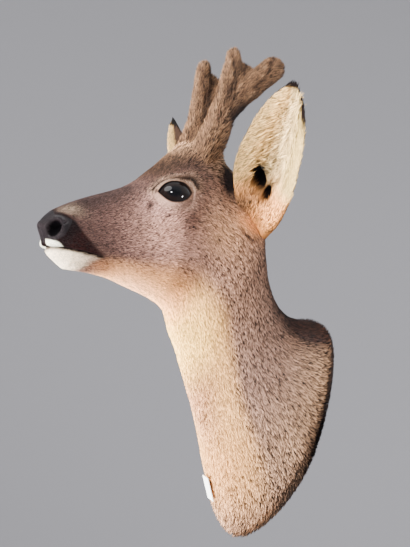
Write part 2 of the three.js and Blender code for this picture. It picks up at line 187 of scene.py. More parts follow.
def material(name, **sockets):
    """A new Principled material with constant sockets set, and the wires to drive the others."""
    made = bpy.data.materials.new(name)
    made.use_nodes = True
    wires = Wire(made.node_tree)
    wires.drive(**sockets)
    return made, wires


PINE = tone(214, 176, 124)
PINE_LATE_WOOD = tone(190, 146, 96)

board_finish, wood = material("planed_pine", roughness=0.6)
warp = wood.noise(wood.place(), 9) * 0.035
grain_place = wood.place((1, 1, 0.12)) + warp
rings = wood.node(
    "ShaderNodeTexWave",
    {"wave_type": "BANDS", "bands_direction": "X"},
    {"Vector": grain_place, "Scale": 60, "Distortion": 2.5, "Detail": 2},
)
fibre = wood.noise(wood.place((900, 900, 30)), 1)
late_wood = rings.between(0.45, 0.95) * 0.75 + fibre * 0.25
wood.drive(
    base_color=wood.mix(late_wood, PINE, PINE_LATE_WOOD),
    roughness=0.5 + 0.25 * fibre,
    normal=wood.bump(late_wood + fibre * 0.5, 0.0002),
)


def finish_node(name, finish):
    """Gives a frame piece its finish."""
    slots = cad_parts[name].data.materials
    slots.clear()
    slots.append(finish)


finish_node("back_board", board_finish)


# ---- Hanger -------------------------------------------------------------------------------------
# A pressed strip of zinc-plated steel with a row of teeth that rests on a nail, let into the back
# board over a shallow pocket and held by two brass countersunk screws.

hanger_finish, zinc = material("zinc_plate", roughness=0.4, metallic=1.0)
spangle = zinc.node("ShaderNodeTexVoronoi", {}, {"Vector": zinc.place(), "Scale": 420}, "Color")
zinc.drive(
    base_color=zinc.mix(spangle, tone(176, 180, 184), tone(208, 211, 214)),
    roughness=0.3 + 0.25 * zinc.noise(zinc.place(), 260),
)
finish_node("hanger", hanger_finish)

screw_finish, brass = material("brass", roughness=0.35, metallic=1.0)
tarnish = brass.noise(brass.place(), 700, 4)
brass.drive(
    base_color=brass.mix(tarnish, tone(196, 164, 92), tone(150, 116, 58)),
    roughness=0.25 + 0.3 * tarnish,
)
for number in (1, 2):
    finish_node(f"hanger_screw_{number}", screw_finish)


# ---- Form ---------------------------------------------------------------------------------------
# The body under the coat: rings from the nose to the wall, each in a plane that holds the
# left-right axis. Columns: top reach and height, bottom reach and height, half width, how far up
# it is widest, and how square its upper and lower halves are (2 is an ellipse).

RINGS = np.array([
    (280, 85, 277.5, 77, 6, 0.5, 2, 2),  # nose tip
    (275.5, 94.5, 264, 63, 17, 0.55, 2.2, 2),  # nose
    (269, 102.5, 249.5, 56, 21, 0.55, 2.3, 2),  # nostrils
    (260, 111.5, 243, 55.8, 22.5, 0.5, 2.3, 2),  # lips
    (246, 123.2, 225, 60, 24, 0.48, 2.3, 2),  # chin
    (232, 134, 206, 63, 28, 0.5, 2.3, 2),  # bridge
    (219.5, 145, 188, 63, 35, 0.55, 2.2, 2),  # cheek
    (207.5, 159.5, 170, 63, 42, 0.6, 2.2, 2),  # stop
    (195.5, 178.5, 158, 62, 46, 0.62, 2.3, 2),  # eyes
    (184, 195.5, 147.5, 59.5, 45, 0.6, 2.3, 2),  # forehead
    (164, 205, 139, 54, 43, 0.58, 2.1, 2),  # crown
    (138, 203, 134, 46.5, 42, 0.55, 2.1, 2),  # poll
    (111, 194, 128.5, 38.5, 44.5, 0.52, 2.1, 2),  # nape
    (90, 176.5, 119.5, 28, 45.5, 0.5, 2.1, 1.9),  # throat
    (77, 151, 110, 15, 44, 0.5, 2.1, 1.8),  # upper neck
    (65, 127, 98, 0, 46, 0.5, 2.1, 1.75),  # middle neck
    (50, 110, 82, -19, 51, 0.47, 2.1, 1.7),  # lower neck
    (34, 102, 62, -44, 61, 0.46, 2.1, 1.7),  # withers
    (20, 102, 41, -72, 72.5, 0.45, 2.3, 1.7),  # shoulders
    (11, 104, 22, -96, 80.5, 0.44, 2.5, 1.65),  # brisket
    (4, 103, 7, -106.5, 79, 0.44, 2.6, 1.65),  # cape edge
    (0, 99, 0, -102, 75, 0.44, 2.6, 1.65),  # wall
])
WALL_RING = len(RINGS) - 1

# Swellings and hollows on both sides: the place, how far they spread and how they move the surface.
SWELLINGS = [
    ((42, 191, 155), 19, (6, 2, 3)),  # brow
    ((46, 186, 126), 18, (3.5, 1, 0)),  # cheekbone
    ((33, 213, 128), 13, (-3, 0, 0)),  # hollow before the eye
    ((40, 158, 98), 28, (3.5, 0, 0)),  # jaw muscle
    ((19, 266, 88), 11, (2.5, 1, 0)),  # nostril wing
    ((20, 246, 76), 13, (2, 0, 0)),  # lip
    ((58, 8, 82), 24, (5, 3, 2)),  # shoulder lobe
    ((52, 38, 76), 20, (-4, 0, 0)),  # crease over the shoulder
    ((24, 168, 199), 16, (1, -1, 14)),  # stump under the antler
]
OUT_OF_WALL = np.array([1, -1, 1])
MIRROR = np.array([-1, 1, 1])


def smooth_curve(values, t):
    """A smooth curve through evenly spaced values, at places t from 0 to the last value's number."""
    values = np.asarray(values, float)
    held = np.concatenate([2 * values[:1] - values[1:2], values, 2 * values[-1:] - values[-2:-1]])
    start = np.clip(np.floor(t).astype(int), 0, len(values) - 2)
    part = np.asarray(t - start)
    part = part.reshape(part.shape + (1,) * (values.ndim - 1))
    before, here, there, after = (held[start + k] for k in range(4))
    bend = 2 * before - 5 * here + 4 * there - after
    turn_back = 3 * here - before - 3 * there + after
    return 0.5 * (2 * here + (there - before) * part + bend * part**2 + turn_back * part**3)


def unit(vectors):
    """Vectors with the same directions, one unit long."""
    return vectors / np.linalg.norm(vectors, axis=-1, keepdims=True)


def bell(*offsets):
    """1 where every offset is 0, fading to 0 as they grow either way."""
    return np.exp(-sum(offset**2 for offset in offsets))


def closeness(points, centre, spread):
    """1 at the centre, fading to 0 with distance. The spread is one radius or one for each axis."""
    away = (points - np.asarray(centre) * OUT_OF_WALL) / spread
    return np.exp(-(away**2).sum(-1))


def step(low, high, values):
    """0 at low, 1 at high, and smooth from one to the other, also where low is the greater."""
    part = np.clip((values - low) / (high - low), 0, 1)
    return part * part * (3 - 2 * part)


def form(ring, turn, grow=0.0):
    """Points of the body: ring counts from the nose, turn goes from the left side over the top."""
    row = smooth_curve(RINGS, ring)
    top_reach, top_height, low_reach, low_height, half, widest, upper, lower = np.moveaxis(row, -1, 0)
    top = np.stack([0 * half, -top_reach, top_height], -1)
    low = np.stack([0 * half, -low_reach, low_height], -1)
    rise = unit(top - low) * np.expand_dims(grow * np.ones_like(half), -1)
    top = top + rise
    low = low - rise
    above = np.sin(turn) >= 0
    power = 2 / np.where(above, upper, lower)
    aside = np.sign(np.cos(turn)) * np.abs(np.cos(turn)) ** power
    away = np.abs(np.sin(turn)) ** power
    middle = low + (top - low) * widest[..., None]
    points = middle + (np.where(above[..., None], top, low) - middle) * away[..., None]
    points[..., 0] = (half + grow) * aside
    moved = points.copy()
    for centre, spread, push in SWELLINGS:
        for side in (np.ones(3), MIRROR):
            fade = closeness(points, np.array(centre) * side, spread)
            moved += fade[..., None] * np.array(push) * OUT_OF_WALL * side
    return moved


# ---- Eyes ---------------------------------------------------------------------------------------
# Glass eyes, blown dark with a faint brown ring round a lying pupil, set deep in the form before
# the skin goes on. They stand as deep in the head as real ones.

EYE_RADIUS = 15.5
EYE_CENTRE = np.array([34.5, -189, 141.5])
EYE_LOOKS = unit(np.array([0.89, -0.44, 0.13]))
EYE_CORNERS = np.array([0, 1, 0.26])
EYE_REAR = unit(EYE_CORNERS - EYE_LOOKS * (EYE_CORNERS @ EYE_LOOKS))
EYE_UP = np.cross(EYE_LOOKS, EYE_REAR)
EYE_AXES = np.stack([EYE_REAR, EYE_UP, EYE_LOOKS])
CORNEA_RADIUS = 11
CORNEA_RISE = 0.5
PUPIL_HALF_SIZES = (5.2, 4)
IRIS_EDGE = (0.9, 1.5)
WHITE_EDGE = (2.35, 2.8)
PAST_THE_WHITE = 4
EYE_ROWS = 40
EYE_COLUMNS = 64

SIDES = {"left": np.ones(3), "right": MIRROR}


def mesh_object(name, points, faces):
    """A smooth object from points in millimetres."""
    mesh = bpy.data.meshes.new(name)
    mesh.from_pydata(np.asarray(points) * MM, [], faces)
    mesh.polygons.foreach_set("use_smooth", [True] * len(mesh.polygons))
    return add_object(name, mesh)


def rounds(along, columns):
    """A grid of places: the given values along, and one full turn in even steps."""
    return np.meshgrid(along, np.linspace(0, 2 * math.pi, columns, endpoint=False), indexing="ij")


def loft_faces(rows, columns, first=0):
    """Quads between rows of points, each row closed on itself, and fans to a point at each end."""
    faces = []
    for row in range(rows - 1):
        for column in range(columns):
            a = first + row * columns + column
            b = first + row * columns + (column + 1) % columns
            faces.append((a, b, b + columns, a + columns))
    start_pole = first + rows * columns
    last = first + (rows - 1) * columns
    for column in range(columns):
        beyond = (column + 1) % columns
        faces.append((start_pole, first + beyond, first + column))
        faces.append((start_pole + 1, last + column, last + beyond))
    return faces


def turned_out(mesh):
    """Turns all faces of closed shells outwards."""
    shells = bmesh.new()
    shells.from_mesh(mesh)
    bmesh.ops.recalc_face_normals(shells, faces=shells.faces)
    shells.to_mesh(mesh)
    shells.free()


def attach(mesh, name, values):
    """Stores one value or vector for each point of a mesh."""
    values = np.ascontiguousarray(values, np.float32)
    kind, field = ("FLOAT_VECTOR", "vector") if values.size > len(values) else ("FLOAT", "value")
    mesh.attributes.new(name, kind, "POINT").data.foreach_set(field, values.ravel())


eye_finish, glass = material("dark_glass_eye", roughness=0.03, specular_ior_level=0.4)
iris = glass.attribute("from_pupil").between(*IRIS_EDGE)
streaks = glass.noise(glass.attribute("iris_turn", "Vector") * (9, 9, 9), 2.2, 4)
iris_colour = glass.mix(streaks, tone(10, 7, 7), tone(24, 15, 12))
white = glass.attribute("from_pupil").between(*WHITE_EDGE)
pupil_and_iris = glass.mix(iris, tone(4, 4, 6), iris_colour)
glass.drive(base_color=glass.mix(white, pupil_and_iris, tone(20, 15, 14)))

for name, side in SIDES.items():
    slope, spin = rounds(np.linspace(0, math.pi, EYE_ROWS + 2)[1:-1], EYE_COLUMNS)
    local = np.stack([np.sin(slope) * np.cos(spin), np.sin(slope) * np.sin(spin), np.cos(slope)], -1)
    local = np.concatenate([local.reshape(-1, 3), [(0, 0, 1), (0, 0, -1)]])
    off_axis = np.hypot(local[:, 0], local[:, 1]) * EYE_RADIUS
    cornea = CORNEA_RISE * step(CORNEA_RADIUS, 0, off_axis) * (local[:, 2] > 0)
    placed = (local * (EYE_RADIUS + cornea)[:, None]) @ EYE_AXES
    eye_faces = loft_faces(EYE_ROWS, EYE_COLUMNS)
    eye = mesh_object(f"eye_glass_{name}", (placed + EYE_CENTRE) * side, eye_faces)
    turned_out(eye.data)
    in_pupils = local[:, :2] * EYE_RADIUS / PUPIL_HALF_SIZES
    from_pupil = np.where(local[:, 2] > 0, np.hypot(in_pupils[:, 0], in_pupils[:, 1]), PAST_THE_WHITE)
    attach(eye.data, "from_pupil", from_pupil)
    attach(eye.data, "iris_turn", unit(local * (1, 1, 0.05)))
    eye.data.materials.append(eye_finish)
    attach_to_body(eye, "root")
    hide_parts(f"eye_{name}")


# ---- Skin ---------------------------------------------------------------------------------------
# One tanned skin from the nose to the wall, drawn over the form and round the board's edge. The
# face has its folds modelled: lids, tear pits, nostrils, mouth and the rim of each ear.

LID_THICKNESS = 1.5
LID_FRONT = 13
LID_REAR = 14.4
LID_UP = 9.6
LID_DOWN = 8.5
LID_BEND = 1.6
LID_ROUNDNESS_FRONT = 2.1
LID_ROUNDNESS_REAR = 3.2
EYE_SURROUNDS = 30
EYE_OPENING = np.array([42, -192, 146])
TEAR_PIT = (35, 207, 127)

NOSTRIL = np.array([15, -272, 80.5])
NOSTRIL_LONG = unit(np.array([0.25, 0.35, 0.9]))
NOSTRIL_HALF_SIZES = (7.6, 6.4)
NOSTRIL_FACES = unit(np.array([0.78, -0.6, 0.1]))
NOSTRIL_DEPTH = 10.5
NOSTRIL_TAIL_OFF = np.array([2.5, 7, 5])
NOSTRIL_TAIL_LONG = unit(np.array([0.2, 0.8, 0.5]))
NOSTRIL_TAIL_HALF_SIZES = (6.5, 2.2)

MOUTH_FRONT = (290, 62)
MOUTH_CORNER = (223, 74.5)

BOARD_THICKNESS = 12
HEAD_ROWS_APART = 1.7
FACE_ROWS_APART = 1.0
EYE_ROWS_APART = 0.7
NECK_ROWS_APART = 3.0
EDGE_ROWS_APART = 1.5


def coat_depth(ring):
    """How far the skin lies inside the outline of the coat."""
    rings = [0, 3, 8, 10, 12, 15, 18, 19.5, 21]
    return np.interp(ring, rings, [0.2, 0.9, 1.1, 1.8, 2.6, 3.4, 4.4, 6.5, 8.5])


def spaced(start, end, spacing):
    """Values from start to end that lie spacing(value) apart."""
    fine = np.linspace(start, end, 4000)
    counts = np.concatenate([[0], np.cumsum(np.diff(fine) / spacing(fine)[:-1])])
    return np.interp(np.linspace(0, counts[-1], round(counts[-1]) + 1), counts, fine)


def nearest_on_form(place):
    """The ring and turn of the form's point that is nearest to a place on the left side."""
    ring, turn = np.meshgrid(np.linspace(0, WALL_RING, 400), np.linspace(-1.5, 1.5, 240), indexing="ij")
    found = np.argmin(np.linalg.norm(form(ring, turn) - place, axis=-1))
    return ring.ravel()[found], turn.ravel()[found]


eye_ring, eye_turn = nearest_on_form(EYE_OPENING)


def row_spacing(ring):
    """Rings from one row of the skin to the next: rows lie close on the face and closest at the eyes."""
    side_line = form(ring, np.full_like(ring, eye_turn))
    millimetres = np.linalg.norm(np.gradient(side_line, ring, axis=0), axis=-1)
    rows_apart = [
        (0, FACE_ROWS_APART), (4.6, FACE_ROWS_APART), (5.2, HEAD_ROWS_APART),
        (eye_ring - 1.9, HEAD_ROWS_APART), (eye_ring - 1.5, EYE_ROWS_APART),
        (eye_ring + 1.5, EYE_ROWS_APART), (eye_ring + 1.9, HEAD_ROWS_APART), (12, HEAD_ROWS_APART),
        (13, NECK_ROWS_APART), (19.5, NECK_ROWS_APART), (20.5, EDGE_ROWS_APART),
    ]
    return np.interp(ring, *zip(*rows_apart)) / millimetres


def column_spacing(turn):
    """The turn from one column of the skin to the next: they lie closer at the height of the eyes."""
    from_eyes = np.minimum(np.abs(turn - eye_turn), np.abs(turn - math.pi + eye_turn))
    return np.interp(from_eyes, [0.36, 0.5], [0.0145, 0.045])


ring_steps = spaced(0, WALL_RING, row_spacing)
turn_steps = spaced(-math.pi / 2, 1.5 * math.pi, column_spacing)[:-1]
ring, turn = np.meshgrid(ring_steps, turn_steps, indexing="ij")
skin_points = form(ring, turn, -coat_depth(ring))


def outward(points):
    """Unit vectors square to a grid of points whose columns close on themselves."""
    down = np.gradient(points, axis=0)
    around = np.roll(points, -1, axis=1) - np.roll(points, 1, axis=1)
    across = np.cross(down, around)
    return across / np.maximum(np.linalg.norm(across, axis=-1, keepdims=True), 1e-9)


def eye_place(points):
    """Where points are from the left eye, along its own axes, and how far outside the lids' edge."""
    u, v, w = np.moveaxis((points - EYE_CENTRE) @ EYE_AXES.T, -1, 0)
    v = v - LID_BEND * (u / LID_FRONT) ** 2
    long_way = np.where(u < 0, np.abs(u) / LID_FRONT, np.abs(u) / LID_REAR)
    roundness = np.where(u < 0, LID_ROUNDNESS_FRONT, LID_ROUNDNESS_REAR)
    high_way = np.where(v > 0, LID_UP, LID_DOWN)
    level = np.abs(v) / high_way + long_way**roundness - 1
    slope = np.hypot(1 / high_way, roundness * long_way ** (roundness - 1) / LID_FRONT)
    return u, v, w, level / slope


def lids(points):
    """Draws the skin over each eyeball and opens it in an almond, with a fold over the upper lid."""
    moved = points.copy()
    for side in SIDES.values():
        u, v, w, away = eye_place(points * side)
        off_axis = np.hypot(u, v)
        ball = np.sqrt(np.maximum((EYE_RADIUS + LID_THICKNESS) ** 2 - off_axis**2, 0))
        near_eye = (w > 0) & (off_axis < EYE_SURROUNDS)
        follow = step(8.5, 1.5, away) * step(EYE_RADIUS + 3.5, EYE_RADIUS - 1.5, off_axis)
        shaped = w + (ball - w) * follow
        fold = bell((away - 4.6) / 0.9) * step(-14, -4, u) * step(1, 4, v)
        under_fold = bell((away - 4.2) / 1.1) * step(-1, -4, v)
        brow = bell((away - 7.5) / 2.2) * step(1, 5, v)
        shaped += -1.5 * fold - 0.6 * under_fold + 1.0 * brow
        shaped -= 4.2 * step(0.5, -0.9, away)
        shaped = np.where(near_eye, shaped, w)
        moved += ((shaped - w)[..., None] * EYE_LOOKS) * side
    return moved


def in_ellipse(off, long_way, half_sizes):
    """How far offsets reach in a stretched ball, where 1 is its surface."""
    along = off @ long_way
    aside = np.sqrt(np.maximum((off**2).sum(-1) - along**2, 0))
    return np.hypot(along / half_sizes[0], aside / half_sizes[1])


def nostril_shape(points, side):
    """How far a point is from a nostril's middle, where 1 is its rim, whatever its depth in the hole."""
    off = points * side - NOSTRIL
    depth = np.clip(off @ NOSTRIL_FACES, -NOSTRIL_DEPTH - 2, NOSTRIL_DEPTH)
    off = off - depth[..., None] * NOSTRIL_FACES
    hole = in_ellipse(off, NOSTRIL_LONG, NOSTRIL_HALF_SIZES)
    tail = in_ellipse(off - NOSTRIL_TAIL_OFF, NOSTRIL_TAIL_LONG, NOSTRIL_TAIL_HALF_SIZES)
    return np.minimum(hole, tail)


def mouth_line_at(reach):
    """The height of the mouth's line, which is straight."""
    rise = (MOUTH_CORNER[1] - MOUTH_FRONT[1]) / (MOUTH_CORNER[0] - MOUTH_FRONT[0])
    return MOUTH_FRONT[1] + rise * (reach - MOUTH_FRONT[0])


def mouth_height(points):
    """How far a point is above the line of the mouth."""
    return points[..., 2] - mouth_line_at(-points[..., 1])


def face_relief(points):
    """How far the folds of the face stand out of the smooth skin, or sink into it."""
    relief = np.zeros(points.shape[:-1])
    reach = -points[..., 1]
    for side in SIDES.values():
        rim = nostril_shape(points, side)
        relief -= NOSTRIL_DEPTH * step(1.12, 0.5, rim)
        relief += 0.45 * bell((rim - 1.5) / 0.35)
        relief -= 1.6 * closeness(points * side, TEAR_PIT, (4, 2.0, 4.5))
    above = mouth_height(points)
    in_mouth = step(MOUTH_CORNER[0] - 2, MOUTH_CORNER[0] + 7, reach)
    relief -= 2.6 * bell((above + 0.2) / 1.0) * in_mouth
    relief += 1.0 * bell((above - 3.2) / 2.4) * in_mouth
    relief += 0.5 * bell((above + 4.5) / 3) * in_mouth
    groove = bell(points[..., 0] / 1.1) * step(262, 270, reach) * step(90, 84, points[..., 2])
    relief -= 1.3 * groove * step(-1, 2, above)
    return relief


skin_points += outward(skin_points) * (face_relief(skin_points) * step(6.5, 6, ring))[..., None]
skin_points = lids(skin_points)


# The ears: a thin cup of cartilage under the skin, on a round root that is buried in the head.
EAR_PATH = np.array([
    (20, -97, 156), (45, -111, 167), (68, -128, 191), (86, -139, 221), (97, -146, 241), (104, -151, 254),
])
EAR_OPENS = np.array([0.64, -0.62, -0.3])
EAR_HALF_WIDTHS = np.array([15, 21, 27.5, 23.2, 14.8, 4])
EAR_DEPTHS = np.array([2, 6, 19, 15, 8, 1])
EAR_WALLS = np.array([15, 19, 3.4, 2.4, 2.0, 1.2])
RIGHT_EAR_RISE = 8
CANAL_DEPTH = 11
EAR_ROWS = 90
EAR_COLUMNS = 110


def in_canal(t, across):
    """How far inside the ear's canal, which is painted dark as shade, a place of the cup is, from 0 to 1.
    """
    middle = -0.3 + 2.5 * (0.34 - t)
    upper = bell((across - middle) / 0.21, (t - 0.342) / 0.048)
    lower = 0.85 * bell((across - 0.1) / 0.15, (t - 0.285) / 0.034)
    return np.maximum(upper, lower)


def ear_points(t, turn):
    """Points of the left ear: t from root to tip, turn round its wall, with the cup where sin < 0."""
    place = t * (len(EAR_PATH) - 1)
    spine = smooth_curve(EAR_PATH, place)
    tangent = unit(smooth_curve(EAR_PATH, place + 0.02) - smooth_curve(EAR_PATH, place - 0.02))
    rearward = unit(np.cross(tangent, EAR_OPENS))
    out = unit(np.cross(rearward, tangent))
    widths = smooth_curve(EAR_HALF_WIDTHS, place)
    depths = smooth_curve(EAR_DEPTHS, place)
    walls = smooth_curve(EAR_WALLS, place)
    across = np.cos(turn)
    inner = np.sin(turn) < 0
    wall = walls / 2 * np.sqrt(np.abs(1 - across**6)) * np.where(inner, 1, -1)
    canal = CANAL_DEPTH * np.minimum(1.3 * in_canal(t, across), 1) * np.where(inner, 1, 0.85)
    ridge = 1.2 * bell((across * 28 - 7 + t * 10) / 2.4) * inner
    ridge *= step(0.4, 0.5, t) * step(0.95, 0.8, t)
    cup = depths * (1 - across**2)
    lift = wall - cup + depths / 2 - canal + ridge
    return spine + rearward * (across * widths)[..., None] + out * lift[..., None]


ear_t, ear_turn = rounds(np.linspace(0, 1, EAR_ROWS), EAR_COLUMNS)
left_ear = ear_points(ear_t, ear_turn)
right_ear = left_ear * MIRROR + ear_t[..., None] * (0, 0, RIGHT_EAR_RISE)
ear_inside = step(0.05, -0.25, np.sin(ear_turn)) * step(0.26, 0.36, ear_t)
ear_along = unit(np.gradient(left_ear, axis=0))
ear_spine_way = unit(np.gradient(smooth_curve(EAR_PATH, ear_t * (len(EAR_PATH) - 1)), axis=0))
ear_across = unit(np.cross(ear_spine_way, EAR_OPENS))


def closed_rows(points):
    """Grid rows for a closed skin: the nose rounds off, and the wall end turns in round the board."""
    middle = points[0].mean(0)
    nose_rows = [
        middle + (points[0] - middle) * size + np.array([0, -rise, 0])
        for size, rise in [(0.25, 1.5), (0.55, 1.3), (0.8, 0.8)]
    ]
    wall = points[-1]
    centre = wall.mean(0) * (1, 0, 1)
    rim_rows = [centre + (wall - centre) * size for size in (0.95, 0.91, 0.885)]
    recess = rim_rows[-1] * (1, 0, 1) + np.array([0, -BOARD_THICKNESS - 0.7, 0])
    floor_rows = [recess.mean(0) + (recess - recess.mean(0)) * size for size in (1, 0.8, 0.5, 0.2)]
    return np.concatenate([nose_rows, points, rim_rows, floor_rows])


NOSE_ROWS = 3
HIDDEN_ROWS = 7
body_grid = closed_rows(skin_points)
body_rings = np.concatenate([np.zeros(NOSE_ROWS), ring_steps, np.full(HIDDEN_ROWS, float(WALL_RING))])
body_ring = np.repeat(body_rings[:, None], len(turn_steps), axis=1)
body_turn = np.repeat(turn_steps[None, :], len(body_grid), axis=0)


# ---- Markings -----------------------------------------------------------------------------------
# A roe buck's winter coat: grey-brown with pale ticks, a dark muzzle with white lips and chin, pale
# rings round the eyes, cream in the ears and down the throat. Skin and hair share these colours.

def painted(points, ground, layers):
    """Colours of points: a ground shade, then layers of a shade and how strongly it covers."""
    colours = np.zeros(points.shape) + np.array(tone(*ground)[:3])
    for shade, amount in layers:
        colours = colours + (np.array(tone(*shade)[:3]) - colours) * np.clip(amount, 0, 1)[..., None]
    return colours


def line_distance(points, start, end):
    """How far points are from a straight line between two places."""
    start = np.array(start) * OUT_OF_WALL
    line = np.array(end) * OUT_OF_WALL - start
    part = np.clip((points - start) @ line / (line @ line), 0, 1)
    return np.linalg.norm(points - start - part[..., None] * line, axis=-1)


def body_markings(points, ring, turn):
    """Colours of the coat on the body, and how much bare nose leather shows."""
    mirrored = points * np.stack([np.sign(points[..., 0]), *np.ones((2,) + ring.shape)], -1)
    reach, height = -points[..., 1], points[..., 2]
    above = np.sin(turn)

    def near(centre, spread):
        return closeness(mirrored, centre, spread)

    # Back of the neck, bridge of the nose, forehead, crown and cheek.
    layers = [
        ((152, 113, 90), step(8, 13, ring)),
        ((114, 87, 73), step(12, 16.5, ring)),
        ((124, 95, 71), step(16, 19, ring)),
        ((58, 37, 29), step(0.5, 0.95, above) * step(11, 13.5, ring) * step(19, 16, ring)),
        ((54, 40, 37), step(0.25, 0.85, above) * step(6.6, 5.6, ring)),
        ((52, 36, 26), step(0.3, 0.85, above) * step(5.8, 7.5, ring) * step(10.5, 9, ring)),
        ((124, 99, 74), step(0.4, 0.9, above) * step(9, 10, ring) * step(13, 11, ring)),
        ((190, 141, 121), near((42, 170, 112), (32, 38, 26))),
        ((166, 124, 111), near((40, 204, 128), (18, 14, 10)) * 0.8),
        ((88, 57, 50), near((46, 170, 128), (16, 8, 11)) * 0.85),
    ]
    # Throat, front of the neck and chest, then painted shade over the withers and the shoulder lobe,
    # where the neck meets the shoulder, and the frayed edge of the cape.
    edge_rings = [4.5, 7, 9, 12.3, 13.5, 15, 16, 17, 19]
    edge = np.interp(ring, edge_rings, [-0.85, -0.84, -0.82, -0.68, -0.64, -0.7, -0.8, -0.88, -0.97])
    pale = step(edge + 0.36, edge - 0.26, above) * step(3.8, 5.0, ring)
    layers += [
        ((255, 176, 104), pale),
        ((255, 200, 108), pale * step(9, 12, ring)),
        ((176, 124, 88), pale * step(13, 15.6, ring)),
        ((196, 136, 80), pale * step(16, 18, ring)),
        ((248, 184, 140), near((12, 185, 62), (26, 34, 10)) * 0.8),
        ((104, 80, 66), step(17, 19.5, ring) * step(0.1, -0.9, above) * 0.85),
        # Painted shade over the withers, where the neck meets the shoulder.
        ((33, 19, 14), near((34, 22, 100), (60, 24, 30)) * 2.2),
        ((50, 29, 21), step(18.3, 20.2, ring) * step(-0.7, 0.1, above) * 0.9),
    ]
    # Muzzle: a dark patch back to the corner of the mouth, a white spot on the lip and a white chin,
    # and painted shade along the slit of the mouth.
    over_mouth = mouth_height(points)
    patch_top = np.interp(reach, [222, 232, 238, 248, 256, 262, 270], [74, 76, 78.5, 83, 88, 91, 93])
    dark = step(patch_top + 1.8, patch_top - 1.2, height) * step(220, 225, reach)
    dark *= step(-0.5, 1.2, over_mouth)
    chin_rear = 221 - 0.9 * np.minimum(over_mouth, 0)
    spot_top = np.interp(reach, [255, 259, 266, 276], [mouth_line_at(255), 68, 70.5, 71.5])
    lip = step(spot_top + 0.5, spot_top - 0.8, height) * step(256, 261, reach) * step(0, 0.8, over_mouth)
    lip *= step(4, 6, np.abs(points[..., 0]))
    layers += [
        ((36, 15, 13), dark),
        ((22, 12, 12), dark * step(248, 262, reach)),
        ((128, 108, 91), near((15, 265, 99), (8, 12, 7)) * step(92.5, 95, height) * 0.85),
        ((30, 20, 18), step(271, 275, reach) * step(91, 93, height)),
        ((255, 230, 198), step(-0.4, -1.6, over_mouth) * step(0, 12, reach - chin_rear)),
        ((150, 98, 66), near((19, 222, 67), (12, 14, 5)) * step(0, -1.5, over_mouth) * 0.9),
        ((255, 251, 226), lip),
        # Painted shade along the slit of the mouth.
        ((16, 8, 7), bell((over_mouth + 0.5) / 1.6) * step(221, 226, reach)),
    ]
    # Eye: a pale ring, painted shade along the fold over the upper lid, dark margins and a dark tear pit.
    u, v, w, away = eye_place(mirrored)
    at_eye = step(0, 4, w) * step(EYE_SURROUNDS, 24, np.hypot(u, v))
    tear_track = line_distance(mirrored, (35, 206, 141), (33, 211, 136))
    layers += [
        ((150, 120, 100), step(9, 4, away) * 0.9 * (v > 0) * at_eye),
        ((166, 130, 112), step(9, 4, away) * 0.75 * (v <= 0) * at_eye),
        # Painted shade in the fold over the upper lid.
        ((26, 15, 12), bell(away - 4.6) * step(0, 3, v) * at_eye),
        ((18, 12, 12), step(1.5, 0.7, away) * at_eye),
        ((36, 22, 20), step(2.6, 1.4, tear_track) * 0.8),
        ((46, 28, 22), near(TEAR_PIT, (6, 2.6, 5)) * 1.2),
    ]
    # The crown is pale between the antlers, the cheek before the ears too, and between them lies dark
    # hair with painted shade in the gap between head and ear. The ear's root goes into the cheek warm
    # above, with painted shade along the crease below.
    crease = line_distance(mirrored, (41, 122, 143), (40, 108, 139))
    crease = np.minimum(crease, line_distance(mirrored, (40, 108, 139), (26, 88, 148)))
    hole = step(1.0, 0.8, nostril_shape(mirrored, 1))
    layers += [
        ((142, 108, 80), near((12, 174, 200), (18, 16, 20)) * 1.2),
        ((182, 134, 98), near((44, 136, 134), (18, 24, 26)) * 0.9),
        # Dark hair and painted shade in the gap between head and ear.
        ((22, 11, 8), near((34, 142, 187), (18, 11, 20)) * 1.8),
        ((222, 148, 92), near((38, 112, 152), (14, 15, 9)) * 1.1),
        # Painted shade along the crease under the ear's root.
        ((40, 22, 16), step(2.6, 0.9, crease) * 0.8),
        # The inside of each nostril is painted near black, as shade in the hole.
        ((3, 2, 3), hole),
    ]
    # Bare leather on the front and top of the nose, between the white lip and the hair.
    nose_edge = np.interp(height, [64, 70, 76, 84, 91, 95], [275, 268, 263, 262, 262, 266])
    nose_roof = 91 + 5 * step(14, 4, np.abs(points[..., 0]))
    leather = step(nose_edge - 0.8, nose_edge + 0.8, reach) * step(67.5, 69, height)
    leather *= step(nose_roof + 0.8, nose_roof - 0.8, height) * (1 - step(0.35, 0.75, lip))
    return painted(points, (85, 62, 56), layers), leather * (1 - hole)


body_colours, leather = body_markings(body_grid, body_ring, body_turn)


